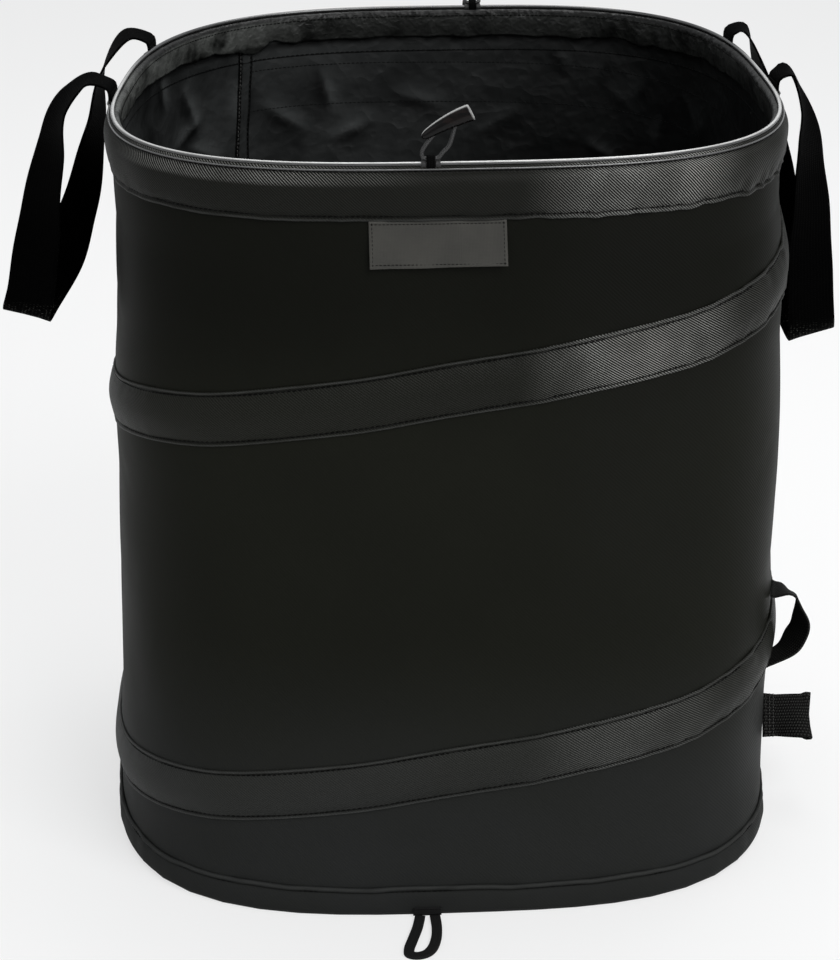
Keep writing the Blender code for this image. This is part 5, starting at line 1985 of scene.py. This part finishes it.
@dataclass
class ClosingLoop:
    """A knitted elastic loop at the foot, which hooks over a toggle when the bin is shut."""

    shop: Workshop
    facing: Facing
    width: float = 0.0080
    thickness: float = 0.0020
    length: float = 0.060
    lean: float = 0.013
    spread: float = 0.0115
    root_height: float = 0.0062
    row_share: float = 0.36

    def build(self) -> None:
        """Makes the loop and its sewn root, a short folded length of the same elastic on the hem."""
        label, sign = f"closure_{self.facing.name.lower()}", self.facing.value
        hinge, _ = self.shop.hinge(f"{label}_lift")
        across, way = np.array(CLOSURE_LINE).T
        shift = self.spread * across - self.lean * way * way
        path = curve_through(hinge - sign * np.stack([shift, -self.length * way, 0 * way], -1), 0.0016)
        path[:, 2] = hinge[2] + 0.0001
        nose = np.minimum(np.arange(len(path)), np.arange(len(path))[::-1])
        depth = self.thickness * np.interp(nose, [0, 1, 2], [0.55, 0.88, 1.0])
        section = strap_section(6, 4)
        obj = sweep(f"{label}_elastic", path, np.cross(UP, tangents(path)), section, self.width, depth)
        self.shop.seat(obj, label, "elastic", "knit_elastic", f"{label}_band")
        self.shop.cord(obj, path, self.width, "limp")
        low, high = (np.array(corner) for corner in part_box(f"{label}_tab"))
        line = np.linspace(low, high, 18)
        line[:, 1:] = (low + high)[1:] / 2
        obj = sweep(f"{label}_root", line, UP, section, self.root_height, high[1] - low[1])
        self.shop.seat(obj, "base", "elastic", "knit_elastic", f"{label}_tab")
        sewn = line[1:-1].copy()
        sewn[:, 1] = (low[1] if sign < 0 else high[1]) + sign * 0.0002
        lines = [sewn + UP * part * self.root_height for part in (-self.row_share, self.row_share)]
        self.shop.sew(f"{label}_stitches", lines, "base", pitch=0.0022, thread=0.0003)


@dataclass(frozen=True)
class Studio:
    """The camera, the soft lamps and the pale floor."""

    place: tuple[float, float, float] = (-0.1424, -2.1223, 1.1638)
    heading: tuple[float, float] = (0.0601, 0.9982)
    pitch: float = 0.4012
    focal_pixels: float = 2802.6
    frame_height: int = 960
    clip: tuple[float, float] = (0.05, 60.0)
    floor_half: float = 36.0
    floor_drop: float = 0.0002
    floor_glow: float = 0.62

    def aim(self, data: Any, place: Sequence[float], direction: Vector) -> Object:
        """Puts a camera or a lamp in its place, pointing along a direction.

        Args:
            data: The camera or the lamp.
            place: Where it stands.
            direction: Where it points.

        Returns:
            Its object.
        """
        obj = link(bpy.data.objects.new(data.name, data))
        turn = direction.to_track_quat("-Z", "Y").to_matrix().to_4x4()
        obj.matrix_world = Matrix.Translation(place) @ turn
        return obj

    def build(self) -> None:
        """Sets the whole stage: a broad lamp at the front right, a weaker one left, one above."""
        bpy.context.scene.view_settings.view_transform = "Standard"
        data = bpy.data.cameras.new("camera")
        data.sensor_fit = "AUTO"
        data.sensor_width = 36.0
        data.lens = self.focal_pixels / self.frame_height * data.sensor_width
        data.clip_start, data.clip_end = self.clip
        level = math.cos(self.pitch)
        direction = Vector((self.heading[0] * level, self.heading[1] * level, -math.sin(self.pitch)))
        bpy.context.scene.camera = self.aim(data, self.place, direction)
        for name, place, target, size, power in (
            ("key", (1.2, -2.0, 2.5), (0.0, 0.0, 0.35), 1.8, 62.0),
            ("side", (-2.2, -1.2, 1.7), (0.0, 0.0, 0.35), 1.4, 5.0),
            ("top", (0.3, 0.7, 2.6), (0.0, 0.1, 0.5), 1.4, 30.0),
        ):
            lamp = bpy.data.lights.new(name, "AREA")
            lamp.shape, lamp.size, lamp.energy = "SQUARE", size, power
            self.aim(lamp, place, Vector(target) - Vector(place))
        self.world()
        self.floor()

    def world(self) -> None:
        """White where the camera sees it, soft grey as light and in reflections."""
        world = bpy.data.worlds.new("studio")
        bpy.context.scene.world = world
        world.use_nodes = True
        nodes = Nodes()
        nodes.tree = world.node_tree
        nodes.tree.nodes.clear()
        rays = nodes.node("ShaderNodeLightPath").outputs
        seen = {0: rays["Is Camera Ray"], 1: rays["Is Transmission Ray"]}
        mixed = {0: nodes.node("ShaderNodeMath", {"operation": "MAXIMUM"}, seen).outputs[0]}
        for slot, colour in ((1, (0.50, 0.51, 0.52, 1.0)), (2, (1.0, 1.0, 1.0, 1.0))):
            mixed[slot] = nodes.node("ShaderNodeBackground", inputs={"Color": colour}).outputs[0]
        shader = nodes.node("ShaderNodeMixShader", inputs=mixed)
        nodes.node("ShaderNodeOutputWorld", inputs={0: shader.outputs[0]})

    def floor(self) -> None:
        """A pale floor that stays white to the camera but for the bin's own shadow."""
        half = self.floor_half
        points = np.array([[(-half, -half), (-half, half)], [(half, -half), (half, half)]])
        points = np.concatenate([points, np.full((2, 2, 1), -self.floor_drop)], -1)
        obj = make_grid("floor", points, (np.arange(2), np.arange(2)))
        graph = Graph("pale_floor")
        seen = Value(graph, graph.node("ShaderNodeLightPath").outputs["Is Camera Ray"])
        base = graph.mix(graph.noise(6.0) * 0.3, (0.80, 0.80, 0.80), (0.82, 0.82, 0.82))
        matte = graph.node("ShaderNodeBsdfDiffuse", inputs={"Color": base})
        glow = graph.node("ShaderNodeEmission", inputs={"Color": (1, 1, 1, 1), "Strength": 1.0})
        both = {0: seen * self.floor_glow, 1: matte.outputs[0], 2: glow.outputs[0]}
        obj.data.materials.append(graph.close(graph.node("ShaderNodeMixShader", inputs=both)))
        obj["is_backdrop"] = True


def corners() -> list[list[float]]:
    """The two corners of the box round everything as plain lists."""
    return [list(map(float, corner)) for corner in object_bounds()]


def main() -> None:
    """Builds the bin's looks round its frame."""
    logging.basicConfig(level=logging.INFO, format="%(name)s: %(message)s")
    for obj in list(bpy.data.objects):
        bpy.data.objects.remove(obj, do_unlink=True)
    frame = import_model()
    Studio().build()
    finishes = {finish.name: finish.build() for finish in FINISHES}
    shop = Workshop(frame, finishes, StitchTree("stitch_rows"), TubeTree("round_lines"))
    for facing in Facing:
        ClosingLoop(shop, facing).build()
    Toggle(shop, Facing.FRONT, FRONT_STRANDS, (0.0115, 0.0, 0.0245), 0.47).build()
    Toggle(shop, Facing.BACK, BACK_STRANDS, (0.0, 0.0145, -0.0215), 0.0).build()
    for kind in (Tub, Rim, Label):
        kind(shop).build()
    CarryHandle(shop, Side.LEFT, LEFT_ROUTE, 0.0924, 0.2090).build()
    CarryHandle(shop, Side.RIGHT, RIGHT_ROUTE, 0.0620, 0.2400).build()
    loops = SideLoops(shop)
    loops.grab()
    loops.tab()
    LOG.info("%d pieces made besides the carrying handles", shop.made)


if __name__ == "__main__":
    main()
